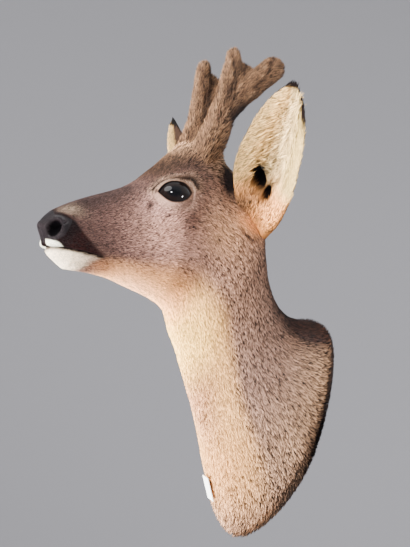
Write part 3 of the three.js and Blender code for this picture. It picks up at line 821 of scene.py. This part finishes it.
def ear_markings(points, t, turn, inside):
    """Colours of the ears: cream in the cup, grey-brown behind, a black tip and rear rim, and painted
    shade in the canal and under it.
    """
    across = np.cos(turn)
    behind = step(-0.2, 0.1, np.sin(turn))
    shade_under_canal = bell((across + 0.1) / 0.5, (t - 0.27) / 0.06) * (np.sin(turn) < 0.3)
    rear_rim = step(0.76 - 0.2 * behind, 0.86 - 0.1 * behind, across) * step(0.56, 0.72, t)
    tip = step(0.925, 0.955, t + 0.02 * across + 0.12 * behind)
    return painted(points, (90, 66, 52), [
        ((250, 168, 96), step(0.42, 0.3, t) * (1 - 0.9 * behind)),
        ((212, 176, 120), inside),
        ((204, 170, 104), inside * step(0.2, 0.7, across)),
        ((222, 172, 104), inside * step(-0.2, -0.7, across)),
        ((232, 186, 118), step(-0.75, -0.9, across) * step(0.3, 0.4, t)),
        ((140, 100, 70), step(0.1, -0.6, across) * step(0.3, 0.22, t) * 0.9),
        # Painted shade under the canal, then near black painted shade inside it.
        ((120, 84, 54), shade_under_canal * 0.7),
        ((8, 4, 3), in_canal(t, across) * 2.6 * step(0.0, -0.2, np.sin(turn))),
        ((70, 44, 32), step(0.035, 0.015, t)),
        ((20, 12, 10), rear_rim + tip),
    ])


ear_colours = ear_markings(left_ear, ear_t, ear_turn, ear_inside)


# ---- Lie of the coat ----------------------------------------------------------------------------
# Hair runs from the nose back over the head, down the neck and out to the cape's edge. It is
# shortest on the face and longest on the neck and shoulders, and lies close everywhere.

HAIR_LENGTH_RINGS = [0, 3, 6, 9, 11, 13, 16, 18.5, 19.5, 21]
HAIR_LENGTHS = [1.4, 1.8, 2.3, 2.9, 3.6, 4.0, 4.5, 5.2, 6.2, 6.6]
ANTLER_ROOT = (25, 170, 212)
body_length = np.interp(body_ring, HAIR_LENGTH_RINGS, HAIR_LENGTHS)
body_lift = np.radians(np.interp(body_ring, [0, 8, 10, 14, 19, 20.5], [12, 14, 20, 15, 14, 8]))
body_comb = np.gradient(body_grid, axis=0)
at_edge = step(18.2, 19.8, body_ring)[..., None]
outward_in_wall = unit(unit(body_grid * (1, 0, 1)) + (0, -0.3, 0))
body_comb = unit(unit(body_comb) * (1 - at_edge) + outward_in_wall * at_edge)
growth = 1 - leather
growth[-HIDDEN_ROWS:] = 0
crown_growth = np.zeros(growth.shape)
paleness = step(0.25, 0.6, body_colours[..., 0])
body_ticking = np.interp(body_ring, [0, 4, 7, 10, 13, 20], [0.7, 0.9, 1.0, 1.05, 0.85, 0.85])
body_ticking *= 1 - 0.5 * paleness
on_top = step(0.4, 0.9, np.sin(body_turn)) * step(5, 7, body_ring) * step(13, 11, body_ring)
body_ticking *= 1 + 0.4 * on_top
for side in SIDES.values():
    growth *= step(1.0, 1.25, nostril_shape(body_grid, side))
    u, v, w, away = eye_place(body_grid * side)
    near_eye = step(0, 3, w) * step(34, 26, np.hypot(u, v))
    growth *= 1 - near_eye * step(1.5, 0.9, away)
    parted = near_eye * step(9, 2, away) * 0.85
    sweep = EYE_REAR * 0.5 + EYE_UP * np.tanh(v / 3)[..., None]
    body_comb = unit(body_comb * (1 - parted[..., None]) + parted[..., None] * sweep * side)
    body_length *= 1 - 0.6 * near_eye * step(9, 1, away)
    stump = closeness(body_grid * side, ANTLER_ROOT, (19, 19, 24))[..., None]
    body_comb = unit(body_comb * (1 - stump) + stump * np.array([0, 0, 1]))
    body_length += 5 * stump[..., 0]
    crown_growth += stump[..., 0]
mouth = mouth_height(body_grid) + 0.2
in_mouth = step(MOUTH_CORNER[0] - 1, MOUTH_CORNER[0] + 4, -body_grid[..., 1]) * step(4.4, 4.0, body_ring)
growth *= 1 - in_mouth * step(1.2, 0.7, np.abs(mouth))
short_share = step(13.5, 8.5, body_ring)
short_closeness = np.interp(body_ring, [0, 3, 8, 11], [2.2, 1.7, 1.25, 1.0])
long_closeness = np.interp(body_ring, [9, 13, 20], [1.0, 0.9, 0.8])
body_short = growth * (short_share * short_closeness + 0.12)
body_long = growth * ((1 - short_share) * long_closeness + 0.9 * crown_growth)

ear_cos = np.cos(ear_turn)
ear_tilt = ear_inside * np.interp(ear_cos, [0, 0.3, 0.6, 0.8, 1], [0.75, 0.45, 0.15, 0.3, 0.6])
ear_comb = unit(ear_along + ear_tilt[..., None] * ear_across)
ear_middle = ear_inside * step(0.95, 0.75, ear_t)
ear_middle = ear_middle * step(0.8, 0.4, ear_cos) * step(-1, -0.75, ear_cos)
ear_length = 4.5 + 9 * ear_middle
canal_bare = in_canal(ear_t, ear_cos) + in_canal(ear_t + 0.012, ear_cos + 0.12)
canal_bare = step(0.05, 0.3, canal_bare * (np.sin(ear_turn) < 0))
ear_short = (1.1 + 0.6 * ear_inside) * step(0.1, 0.2, ear_t) * (1 - canal_bare)
ear_fringe = ear_inside * (1 - canal_bare) * step(0.97, 0.85, ear_t)
ear_fringe *= np.maximum(step(0.7, 0.5, ear_cos), 0.7 * step(0.65, 0.5, ear_t))
ear_ticking = 0.25 + 0.25 * ear_inside * step(0.3, -0.3, ear_cos) + 0.5 * step(0.34, 0.2, ear_t)

UV_BODY = (0.01, 0.01, 0.74, 0.98)
UV_EARS = {"left": (0.77, 0.02, 0.21, 0.46), "right": (0.77, 0.52, 0.21, 0.46)}


def shell(points, box, **fields):
    """One closed grid of the skin, with the fields that hair and colour follow and its unwrap box."""
    return {"points": points, "box": box, "fields": fields}


def with_end_middles(grid):
    """The places of a grid in one list, with the middle of its first and last row added."""
    middles = grid[[0, -1]].reshape(2, grid.shape[1], -1).mean(1)
    return np.concatenate([grid.reshape(grid.shape[0] * grid.shape[1], -1), middles])


shells = [shell(
    body_grid, UV_BODY, comb=body_comb, coat_colour=body_colours, leather=leather, hair_length=body_length,
    hair_lift=body_lift, short_growth=body_short, long_growth=body_long, fringe_growth=0 * body_ring,
    ticking=body_ticking,
)]
for name, ear in {"left": left_ear, "right": right_ear}.items():
    side = SIDES[name]
    shells.append(shell(
        ear, UV_EARS[name], comb=ear_comb * side, coat_colour=ear_colours,
        leather=0 * ear_t, hair_length=ear_length, hair_lift=np.radians(12 + 8 * ear_inside),
        short_growth=ear_short, long_growth=0 * ear_t, fringe_growth=ear_fringe, ticking=ear_ticking,
    ))

skin_vertices, skin_faces, skin_uvs = [], [], []
skin_fields = {name: [] for name in shells[0]["fields"]}
for part in shells:
    rows, columns = part["points"].shape[:2]
    skin_faces.extend(loft_faces(rows, columns, len(skin_vertices)))
    skin_vertices.extend(with_end_middles(part["points"]))
    for name, values in part["fields"].items():
        skin_fields[name].extend(with_end_middles(values))
    left, low, wide, high = part["box"]
    steps_along = np.linalg.norm(np.diff(part["points"], axis=0), axis=-1).mean(1)
    along = np.concatenate([[0], np.cumsum(steps_along)]) / steps_along.sum()
    for row in range(rows - 1):
        for column in range(columns):
            for r, c in ((row, column), (row, column + 1), (row + 1, column + 1), (row + 1, column)):
                skin_uvs.append((left + wide * along[r], low + high * c / columns))
    for column in range(columns):
        for r, cs in ((0, (0.5, 1, 0)), (rows - 1, (0.5, 0, 1))):
            skin_uvs.extend((left + wide * along[r], low + high * (column + c) / columns) for c in cs)

skin = mesh_object("skin", skin_vertices, skin_faces)
unwrap = skin.data.uv_layers.new(name="OFBake")
unwrap.data.foreach_set("uv", np.array(skin_uvs, np.float32).ravel())
for name, values in skin_fields.items():
    attach(skin.data, name, values)
turned_out(skin.data)

skin_finish, hide = material(
    "hide_and_nose_leather", roughness=0.8, specular_ior_level=0.1, coat_roughness=0.38
)
base = hide.attribute("coat_colour", "Color")
fine = hide.noise(hide.place((1000, 600, 600)), 1, 2)
hair_shade = 0.62 + 0.45 * fine
leather_mask = hide.attribute("leather")
pebbles = hide.node("ShaderNodeTexVoronoi", {}, {"Vector": hide.place(), "Scale": 900}, "Distance")
blotches = hide.noise(hide.place(), 120)
leather_colour = hide.mix(pebbles.between(0.1, 0.7), tone(9, 7, 8), tone(32, 27, 28))
leather_colour = hide.mix(blotches.between(0.35, 0.75), leather_colour, tone(14, 10, 12))
hide.drive(
    base_color=hide.mix(leather_mask, base * hair_shade, leather_colour),
    roughness=0.85 - 0.35 * leather_mask,
    coat_weight=leather_mask * 0.4,
)
relief = leather_mask * (1 - pebbles) + (1 - leather_mask) * fine
hide.drive(normal=hide.bump(relief, 0.0004))
skin.data.materials.append(skin_finish)
skin.visible_glossy = False
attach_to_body(skin, "root")
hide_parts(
    "head", "lower_jaw", "nose_pad", "neck_upper", "neck_lower", "shoulders", "ear_left", "ear_right"
)


# ---- Coat ---------------------------------------------------------------------------------------
# Hair in small pointed tufts that lie along the skin and overlap: short spikes on the face and the
# ears, longer arched ones from the neck back and in the ears' cups. Each piece is an even share.

def tuft(name, rings):
    """A closed three-sided tuft along +Z, one unit long and wide, with rings of (height, width, arch)."""
    points, faces = [], []
    for height, width, arch in rings:
        for x, y in ((-0.5, 0), (0.5, 0), (0, 0.45)):
            points.append((x * width, y * width + arch, height))
    tip = len(points)
    points.append((0, 0, 1))
    for first in range(0, tip - 3, 3):
        for k in range(3):
            faces.append((first + k, first + (k + 1) % 3, first + 3 + (k + 1) % 3, first + 3 + k))
    for k in range(3):
        faces.append((tip - 3 + k, tip - 3 + (k + 1) % 3, tip))
    faces.append((2, 1, 0))
    mesh = bpy.data.meshes.new(name)
    mesh.from_pydata(points, [], faces)
    turned_out(mesh)
    attach(mesh, "along", [point[2] for point in points])
    attach(mesh, "tuft_place", [(point[0], point[2] - 0.5, 0) for point in points])
    return bpy.data.objects.new(name, mesh)


short_tuft = tuft("short_tuft", [(0, 1, 0)])
long_tuft = tuft("long_tuft", [(0, 0.8, 0), (0.5, 1, 0.6)])

coat_finish, hair = material("winter_hair", roughness=0.62, specular_ior_level=0.3)
colour = hair.attribute("coat_colour", "Color")
along = hair.attribute("along")
shade = hair.attribute("shade")
ticking = hair.attribute("ticking")
# Each tuft darkens towards its root: partly the hair's own darker base, partly painted shade deep in the
# coat.
depth = 0.6 + 0.46 * along.between(0.0, 0.75)
tick = 1 + ticking * (shade - 0.5) * 2.7
tick = hair.combine("MAXIMUM", tick, 0.08)
band = 1 + ticking * 0.5 * (along.between(0.55, 0.75) * (1 - along.between(0.8, 0.95)))
hair.drive(base_color=colour * (depth * tick * band))
tuft_normal = hair.node("ShaderNodeNewGeometry", {}, {}, "Normal")
turned = tuft_normal * 0.5 + hair.attribute("root_normal", "Vector") * 0.8
hair.drive(normal=hair.combine("NORMALIZE", turned, (0, 0, 0)))

CLUMPS_PER_METRE = 780
LIFTS = (0.5, 1.5)
SWAYS = (-0.3, 0.3)
LENGTHS = (0.7, 1.25)
WIDTHS = (0.75, 1.25)
UV_PATCH = 0.003


def coat_tree():
    """Grows tufts on a skin: each lies along the comb direction, lifted a little out of the skin."""
    tree = bpy.data.node_groups.new("coat", "GeometryNodeTree")
    sockets = {}
    for label, kind in [
        ("Skin", "Geometry"), ("Tuft", "Object"), ("Growth", "String"), ("Density", "Float"),
        ("Length", "Float"), ("Slimness", "Float"), ("Seed", "Int"), ("Material", "Material"),
    ]:
        sockets[label] = tree.interface.new_socket(label, in_out="INPUT", socket_type=f"NodeSocket{kind}")
    tree.interface.new_socket("Coat", in_out="OUTPUT", socket_type="NodeSocketGeometry")
    settings = tree.nodes.new("NodeGroupInput").outputs
    start = Wire(tree)
    given = {label: Wire(tree, settings[label]) for label in sockets}

    def named(name, kind="FLOAT"):
        return start.node("GeometryNodeInputNamedAttribute", {"data_type": kind}, {"Name": name})

    def chance(low, high, salt):
        return start.node("FunctionNodeRandomValue", {}, {2: low, 3: high, "Seed": given["Seed"] + salt}, 1)

    def stored(geometry, name, value, kind="FLOAT", domain="POINT"):
        settings = {"data_type": kind, "domain": domain}
        inputs = {"Geometry": geometry, "Name": name, "Value": value}
        return start.node("GeometryNodeStoreNamedAttribute", settings, inputs)

    scatter_inputs = {
        "Mesh": given["Skin"],
        "Density": named(given["Growth"]) * given["Density"],
        "Seed": given["Seed"],
    }
    points = start.node("GeometryNodeDistributePointsOnFaces", {}, scatter_inputs)
    normal = Wire(tree, points.socket.node.outputs["Normal"])
    points = stored(points, "root_normal", normal, "FLOAT_VECTOR")
    place = start.node("GeometryNodeInputPosition")
    clump = start.noise(place, CLUMPS_PER_METRE, 3.0, 0.7).between(0.4, 0.6)
    points = stored(points, "shade", clump * 0.4 + chance(0.0, 1.0, 1).between(0.3, 0.7) * 0.6)
    lift = named("hair_lift") * chance(*LIFTS, 2)
    sway = chance(*SWAYS, 3)
    comb = start.combine("NORMALIZE", named("comb", "FLOAT_VECTOR"), (0, 0, 0))
    side = start.combine("CROSS_PRODUCT", comb, normal)
    lie = comb + side * sway + normal * start.combine("SINE", lift, 0)
    turn = start.node(
        "FunctionNodeAxesToRotation",
        {"primary_axis": "Z", "secondary_axis": "Y"},
        {"Primary Axis": lie, "Secondary Axis": normal},
    )
    length = named("hair_length") * given["Length"] * chance(*LENGTHS, 4) * MM
    width = length * given["Slimness"] * chance(*WIDTHS, 5)
    size = start.node("ShaderNodeCombineXYZ", {}, {"X": width, "Y": width, "Z": length})
    shape = start.node("GeometryNodeObjectInfo", {}, {"Object": given["Tuft"]}, "Geometry")
    placed_inputs = {"Points": points, "Instance": shape, "Rotation": turn, "Scale": size}
    placed = start.node("GeometryNodeInstanceOnPoints", {}, placed_inputs)
    real = start.node("GeometryNodeRealizeInstances", {}, {"Geometry": placed})
    patch = named("root_place", "FLOAT_VECTOR") + named("tuft_place", "FLOAT_VECTOR") * UV_PATCH
    real = stored(real, "OFBake", patch, "FLOAT2", "CORNER")
    done = start.node("GeometryNodeSetMaterial", {}, {"Geometry": real, "Material": given["Material"]})
    start.join(tree.nodes.new("NodeGroupOutput").inputs[0], done)
    return tree, {label: socket.identifier for label, socket in sockets.items()}


def keep_root_places(mesh):
    """Stores the unwrap as a plain vector too, which the tufts carry from their roots."""
    corner_uvs = np.zeros((len(mesh.loops), 2), np.float32)
    mesh.uv_layers["OFBake"].data.foreach_get("uv", corner_uvs.ravel())
    root_place = mesh.attributes.new("root_place", "FLOAT_VECTOR", "CORNER")
    root_place.data.foreach_set("vector", np.pad(corner_uvs, ((0, 0), (0, 1))).ravel())


keep_root_places(skin.data)
grow_coat, coat_inputs = coat_tree()


def coat_piece(name, skin_mesh, slot_name, **settings):
    """Grows one coat piece on a skin mesh and keeps it as a plain mesh."""
    host = add_object(f"{name}_host", skin_mesh)
    modifier = host.modifiers.new("coat", "NODES")
    modifier.node_group = grow_coat
    for label, value in {"Length": 1.0, **settings, "Material": coat_finish}.items():
        modifier[coat_inputs[label]] = value
    grown = host.evaluated_get(bpy.context.evaluated_depsgraph_get())
    mesh = bpy.data.meshes.new_from_object(grown)
    bpy.data.objects.remove(host)
    for spare in ("comb", "hair_length", "hair_lift", "short_growth", "long_growth", "fringe_growth",
                  "leather", "tuft_place", "root_place"):
        if spare in mesh.attributes:
            mesh.attributes.remove(mesh.attributes[spare])
    piece = add_object(name, mesh)
    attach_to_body(piece, "root")
    piece.visible_glossy = False


# Tufts for each square metre of skin where the hair is in full growth, and tuft widths for a length.
SHORT_DENSITY = 1.35e6
LONG_DENSITY = 1.25e6
FRINGE_DENSITY = 0.35e6
SHORT_SLIMNESS = 0.2
LONG_SLIMNESS = 0.12
FRINGE_SLIMNESS = 0.06
FRINGE_LENGTH = 1.25
SHORT_PIECES = 3
LONG_PIECES = 7
for number in range(SHORT_PIECES):
    coat_piece(
        f"coat_short_{number + 1}", skin.data, "coat", Tuft=short_tuft, Growth="short_growth",
        Density=SHORT_DENSITY / SHORT_PIECES, Slimness=SHORT_SLIMNESS, Seed=100 + number,
    )
for number in range(LONG_PIECES):
    coat_piece(
        f"coat_long_{number + 1}", skin.data, "coat", Tuft=long_tuft, Growth="long_growth",
        Density=LONG_DENSITY / LONG_PIECES, Slimness=LONG_SLIMNESS, Seed=200 + number,
    )
coat_piece(
    "ear_hair", skin.data, "ears", Tuft=long_tuft, Growth="fringe_growth", Length=FRINGE_LENGTH,
    Density=FRINGE_DENSITY, Slimness=FRINGE_SLIMNESS, Seed=300,
)


# ---- Antlers ------------------------------------------------------------------------------------
# Growing antlers in velvet: a stout stem that forks into an upright front point and a rear point,
# with a web between them, all under soft brown skin with short dense hair.

FRONT_POINT = {
    "path": [(22, 170, 176), (22, 164.5, 222), (23.5, 168, 256), (25.5, 172, 280), (25, 174.5, 297)],
    "fore_aft": [14.5, 12, 10, 8, 7],
    "across": [11.5, 10.5, 8.5, 7, 6],
}
REAR_POINT = {
    "path": [(23, 163, 232), (25, 155, 258), (28, 143, 282), (30, 128, 306)],
    "fore_aft": [9, 11.5, 12, 12],
    "across": [8, 8, 8, 8],
}
WEB = {
    "path": [(23, 166, 228), (25, 163, 260), (27, 158, 289)],
    "fore_aft": [10, 14, 16],
    "across": [5, 4.5, 3],
}
TIP_ROUNDING = 0.12
RIGHT_ROOT_SET_BACK = 4
VELVET_DEPTH = 1.2
VELVET_LIFT = 0.55
VELVET_TICKING = 0.8
VELVET_DENSITY = 1.3e6
FURROW_DEPTH = 1.0
LIMB_ROWS = 60
LIMB_COLUMNS = 32
JOIN_VOXEL = 1.2
UV_LIMB_MIDDLES = (0.25, 0.75)
UV_LIMB_WIDTH = 0.42


def set_on(path, side):
    """A limb's path on either side of the head. The right antler's root is set a little further back."""
    path = np.array(path, float) * OUT_OF_WALL * side
    if side[0] < 0:
        path[:, 1] += RIGHT_ROOT_SET_BACK * step(290, 200, path[:, 2])
    return path


def limb(path, fore_aft, across, side):
    """A round limb along a path of places, with a rounded end."""
    t, turn = rounds(np.linspace(0, 1, LIMB_ROWS), LIMB_COLUMNS)
    path = set_on(path, side)
    place = t * (len(path) - 1)
    tangent = unit(smooth_curve(path, place + 0.02) - smooth_curve(path, place - 0.02))
    fore = unit(np.cross((1, 0, 0), tangent))
    aside = np.cross(tangent, fore)
    rounding = np.clip((t - 1 + TIP_ROUNDING) / TIP_ROUNDING, 0, 1)
    shrink = np.sqrt(np.maximum(0.02, 1 - rounding**2))
    width = (smooth_curve(across, place) - VELVET_DEPTH) * shrink
    thickness = (smooth_curve(fore_aft, place) - VELVET_DEPTH) * shrink
    points = smooth_curve(path, place) + aside * (np.cos(turn) * width)[..., None]
    points += fore * (np.sin(turn) * thickness)[..., None]
    return with_end_middles(points), loft_faces(LIMB_ROWS, LIMB_COLUMNS)


def round_limb(points, path, side):
    """How far points lie from a limb's middle line, how far along and round it, and the way it runs."""
    path = set_on(path, side)
    place = np.linspace(0, 1, 160)
    spine = smooth_curve(path, place * (len(path) - 1))
    away = np.linalg.norm(points[:, None] - spine, axis=-1)
    nearest = away.argmin(1)
    off = points - spine[nearest]
    turn = np.arctan2(off[:, 1], off[:, 0] * side[0])
    return away.min(1), place[nearest], turn, unit(np.gradient(spine, axis=0))[nearest]


def velvet_fields(points, side):
    """Each point's place on either limb, the velvet's furrows, and what its hair and colour follow."""
    front, rear = (round_limb(points, part["path"], side) for part in (FRONT_POINT, REAR_POINT))
    on_front = front[0] < rear[0]
    along = np.where(on_front, front[1], rear[1])
    turn = np.where(on_front, front[2], rear[2])
    way = np.where(on_front[:, None], front[3], rear[3])
    # Furrows run along the limbs, wander, fade and come back, with lumps between them.
    wander = 2.2 * np.sin(6 * along + 1.3 * side[0]) + 1.1 * np.sin(17 * along + 2 * turn)
    fade = 0.5 + 0.5 * np.sin(11 * along + 3 * turn + side[0])
    furrow = 0.6 * np.sin(3 * turn + wander) + 0.4 * fade * np.sin(8 * turn - 9 * along - wander)
    lumps = np.sin(0.23 * points[:, 2] + 2 * turn) * np.sin(0.31 * points[:, 1] + 1)
    furrow = furrow * (0.45 + 0.55 * fade) + 0.35 * lumps
    medial = step(0, 8, 25 - points[:, 0] * side[0])
    web_middle = np.array(WEB["path"])[1:].mean(0) * side
    at_root = step(252, 218, points[:, 2])
    colours = painted(points, (112, 82, 58), [
        # Painted shade in the furrows and painted light on the ridges between them.
        ((42, 25, 17), step(0.0, -0.8, furrow) * 0.8),
        ((140, 106, 77), step(0.2, 0.8, furrow) * 0.7),
        # Painted shade on the inner side of the web, facing the other antler.
        ((42, 18, 11), closeness(points, web_middle, (16, 10, 24)) * medial),
        ((104, 76, 54), at_root * (0.55 + 0.25 * furrow)),
        # Painted shade under the rear point, where it leaves the stem.
        ((36, 21, 15), closeness(points, np.array((24, 150, 236)) * side, (14, 13, 16)) * 1.5),
    ])
    fields = {
        "comb": way,
        "coat_colour": colours,
        "hair_length": 2.6 + 3 * at_root,
        "hair_lift": np.full(len(points), VELVET_LIFT),
        "short_growth": np.ones(len(points)),
        "ticking": np.full(len(points), VELVET_TICKING),
    }
    return on_front, (front, rear), furrow, fields


velvet_finish, velvet = material("antler_velvet", roughness=0.85, sheen_weight=0.15)
streak = velvet.noise(velvet.place((600, 600, 90)), 1, 3)
skin_tone = velvet.attribute("coat_colour", "Color")
velvet.drive(base_color=skin_tone * (0.45 + 0.7 * streak), normal=velvet.bump(streak, 0.0008))

for name, side in SIDES.items():
    points, faces = [], []
    for part in (FRONT_POINT, REAR_POINT, WEB):
        limb_points, limb_faces = limb(**part, side=side)
        faces.extend(tuple(k + len(points) for k in face) for face in limb_faces)
        points.extend(limb_points)
    antler = mesh_object(f"antler_{name}", points, faces)
    turned_out(antler.data)
    remesh = antler.modifiers.new("joined", "REMESH")
    remesh.mode = "VOXEL"
    remesh.voxel_size = JOIN_VOXEL * MM
    antler.modifiers.new("smooth", "SMOOTH").iterations = 6
    joined = bpy.data.meshes.new_from_object(antler.evaluated_get(bpy.context.evaluated_depsgraph_get()))
    antler.modifiers.clear()
    antler.data = joined
    joined.polygons.foreach_set("use_smooth", [True] * len(joined.polygons))
    places = np.array([vertex.co for vertex in joined.vertices]) / MM
    normals = np.array([vertex.normal for vertex in joined.vertices])
    on_front, limb_places, furrow, fields = velvet_fields(places, side)
    furrowed = places + normals * (furrow * FURROW_DEPTH)[:, None]
    joined.vertices.foreach_set("co", (furrowed * MM).ravel())
    for field, values in fields.items():
        attach(joined, field, values)
    corner_places = []
    for face in joined.polygons:
        corners = list(face.vertices)
        which = 0 if on_front[corners[0]] else 1
        along, turn = limb_places[which][1:3]
        round_turn = (turn[corners] - turn[corners[0]] + math.pi) % (2 * math.pi) - math.pi
        across = (turn[corners[0]] + round_turn) / (2 * math.pi) * UV_LIMB_WIDTH + UV_LIMB_MIDDLES[which]
        corner_places.extend(zip(across, 0.02 + 0.96 * along[corners]))
    antler_unwrap = joined.uv_layers.new(name="OFBake")
    antler_unwrap.data.foreach_set("uv", np.array(corner_places, np.float32).ravel())
    keep_root_places(joined)
    joined.materials.clear()
    joined.materials.append(velvet_finish)
    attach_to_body(antler, "root")
    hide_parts(f"antler_{name}_front", f"antler_{name}_rear")
    coat_piece(
        f"velvet_{name}", joined, "antlers", Tuft=short_tuft, Growth="short_growth",
        Density=VELVET_DENSITY, Slimness=SHORT_SLIMNESS, Seed=400,
    )


# ---- Tag ----------------------------------------------------------------------------------------
# A blank paper label on the chest.

tag_finish, paper = material("tag_paper", roughness=0.8)
pulp = paper.noise(paper.place(), 2500, 3)
paper.drive(
    base_color=paper.mix(pulp, tone(246, 244, 239), tone(232, 228, 220)),
    normal=paper.bump(pulp, 0.00005),
)
finish_node("tag", tag_finish)


# ---- Studio -------------------------------------------------------------------------------------
# A plain grey floor far below the mount that runs up into a wide backdrop all round, a large soft
# lamp from the upper left, one low at the left, small ones for the eyes, one behind and a soft sky.

STAGE_FLOOR = -1.6
STAGE_RADIUS = 4.0
STAGE_CURVE = 1.4
STAGE_HEIGHT = 3.4
STAGE_CURVE_STEPS = 12
STAGE_SIDES = 96
SKY_STRENGTH = 0.6

profile = [(0, STAGE_FLOOR)]
for k in range(STAGE_CURVE_STEPS + 1):
    angle = k / STAGE_CURVE_STEPS * math.pi / 2
    profile.append((
        STAGE_RADIUS - STAGE_CURVE + STAGE_CURVE * math.sin(angle),
        STAGE_FLOOR + STAGE_CURVE - STAGE_CURVE * math.cos(angle),
    ))
profile.append((STAGE_RADIUS, STAGE_HEIGHT))
stage_points = [(0, 0, STAGE_FLOOR / MM)]
stage_faces = []
for radius, height in profile[1:]:
    for k in range(STAGE_SIDES):
        angle = k / STAGE_SIDES * 2 * math.pi
        stage_points.append((radius / MM * math.cos(angle), radius / MM * math.sin(angle), height / MM))
for k in range(STAGE_SIDES):
    beyond = (k + 1) % STAGE_SIDES
    stage_faces.append((0, 1 + k, 1 + beyond))
    for row in range(len(profile) - 2):
        a, b = 1 + row * STAGE_SIDES + k, 1 + row * STAGE_SIDES + beyond
        stage_faces.append((a, a + STAGE_SIDES, b + STAGE_SIDES, b))
backdrop = mesh_object("backdrop", stage_points, stage_faces)
backdrop_finish = material("pale_backdrop", roughness=0.9, base_color=tone(163, 162, 166))[0]
backdrop.data.materials.append(backdrop_finish)


LAMPS_AIM_AT = Vector((0, -0.15, 0.08))


def soft_lamp(name, direction, distance, size, watts, mirrored_in_eyes=False):
    """A round lamp. Its direction from the mount is given as right, up and towards the camera."""
    lamp_data = bpy.data.lights.new(name, "AREA")
    lamp_data.shape = "DISK"
    lamp_data.size = size
    lamp_data.energy = watts
    lamp = add_object(name, lamp_data)
    right, up, near = direction
    way = (camera_right * right + camera_up * up + back * near).normalized()
    lamp.location = LAMPS_AIM_AT + way * distance
    lamp.visible_glossy = mirrored_in_eyes
    lamp.rotation_mode = "QUATERNION"
    lamp.rotation_quaternion = way.to_track_quat("Z", "Y")


soft_lamp("big_window", (-0.62, 0.34, 0.7), 1.9, 2.0, 180)
soft_lamp("eye_light", (-0.2, 0.58, 0.79), 1.8, 0.2, 18, mirrored_in_eyes=True)
soft_lamp("side_light", (0.91, 0.14, 0.38), 1.8, 0.16, 12, mirrored_in_eyes=True)
soft_lamp("low_fill", (-0.74, -0.66, 0.18), 1.4, 0.7, 145)
soft_lamp("sky_sheen", (-0.45, 0.85, 0.3), 1.9, 1.3, 20, mirrored_in_eyes=True)
soft_lamp("behind", (0.2, 0.5, -0.8), 1.9, 1.2, 22)

world = bpy.data.worlds.new("soft_sky")
bpy.context.scene.world = world
world.use_nodes = True
sky = world.node_tree.nodes["Background"].inputs
sky["Color"].default_value = (0.95, 0.97, 1.0, 1)
sky["Strength"].default_value = SKY_STRENGTH
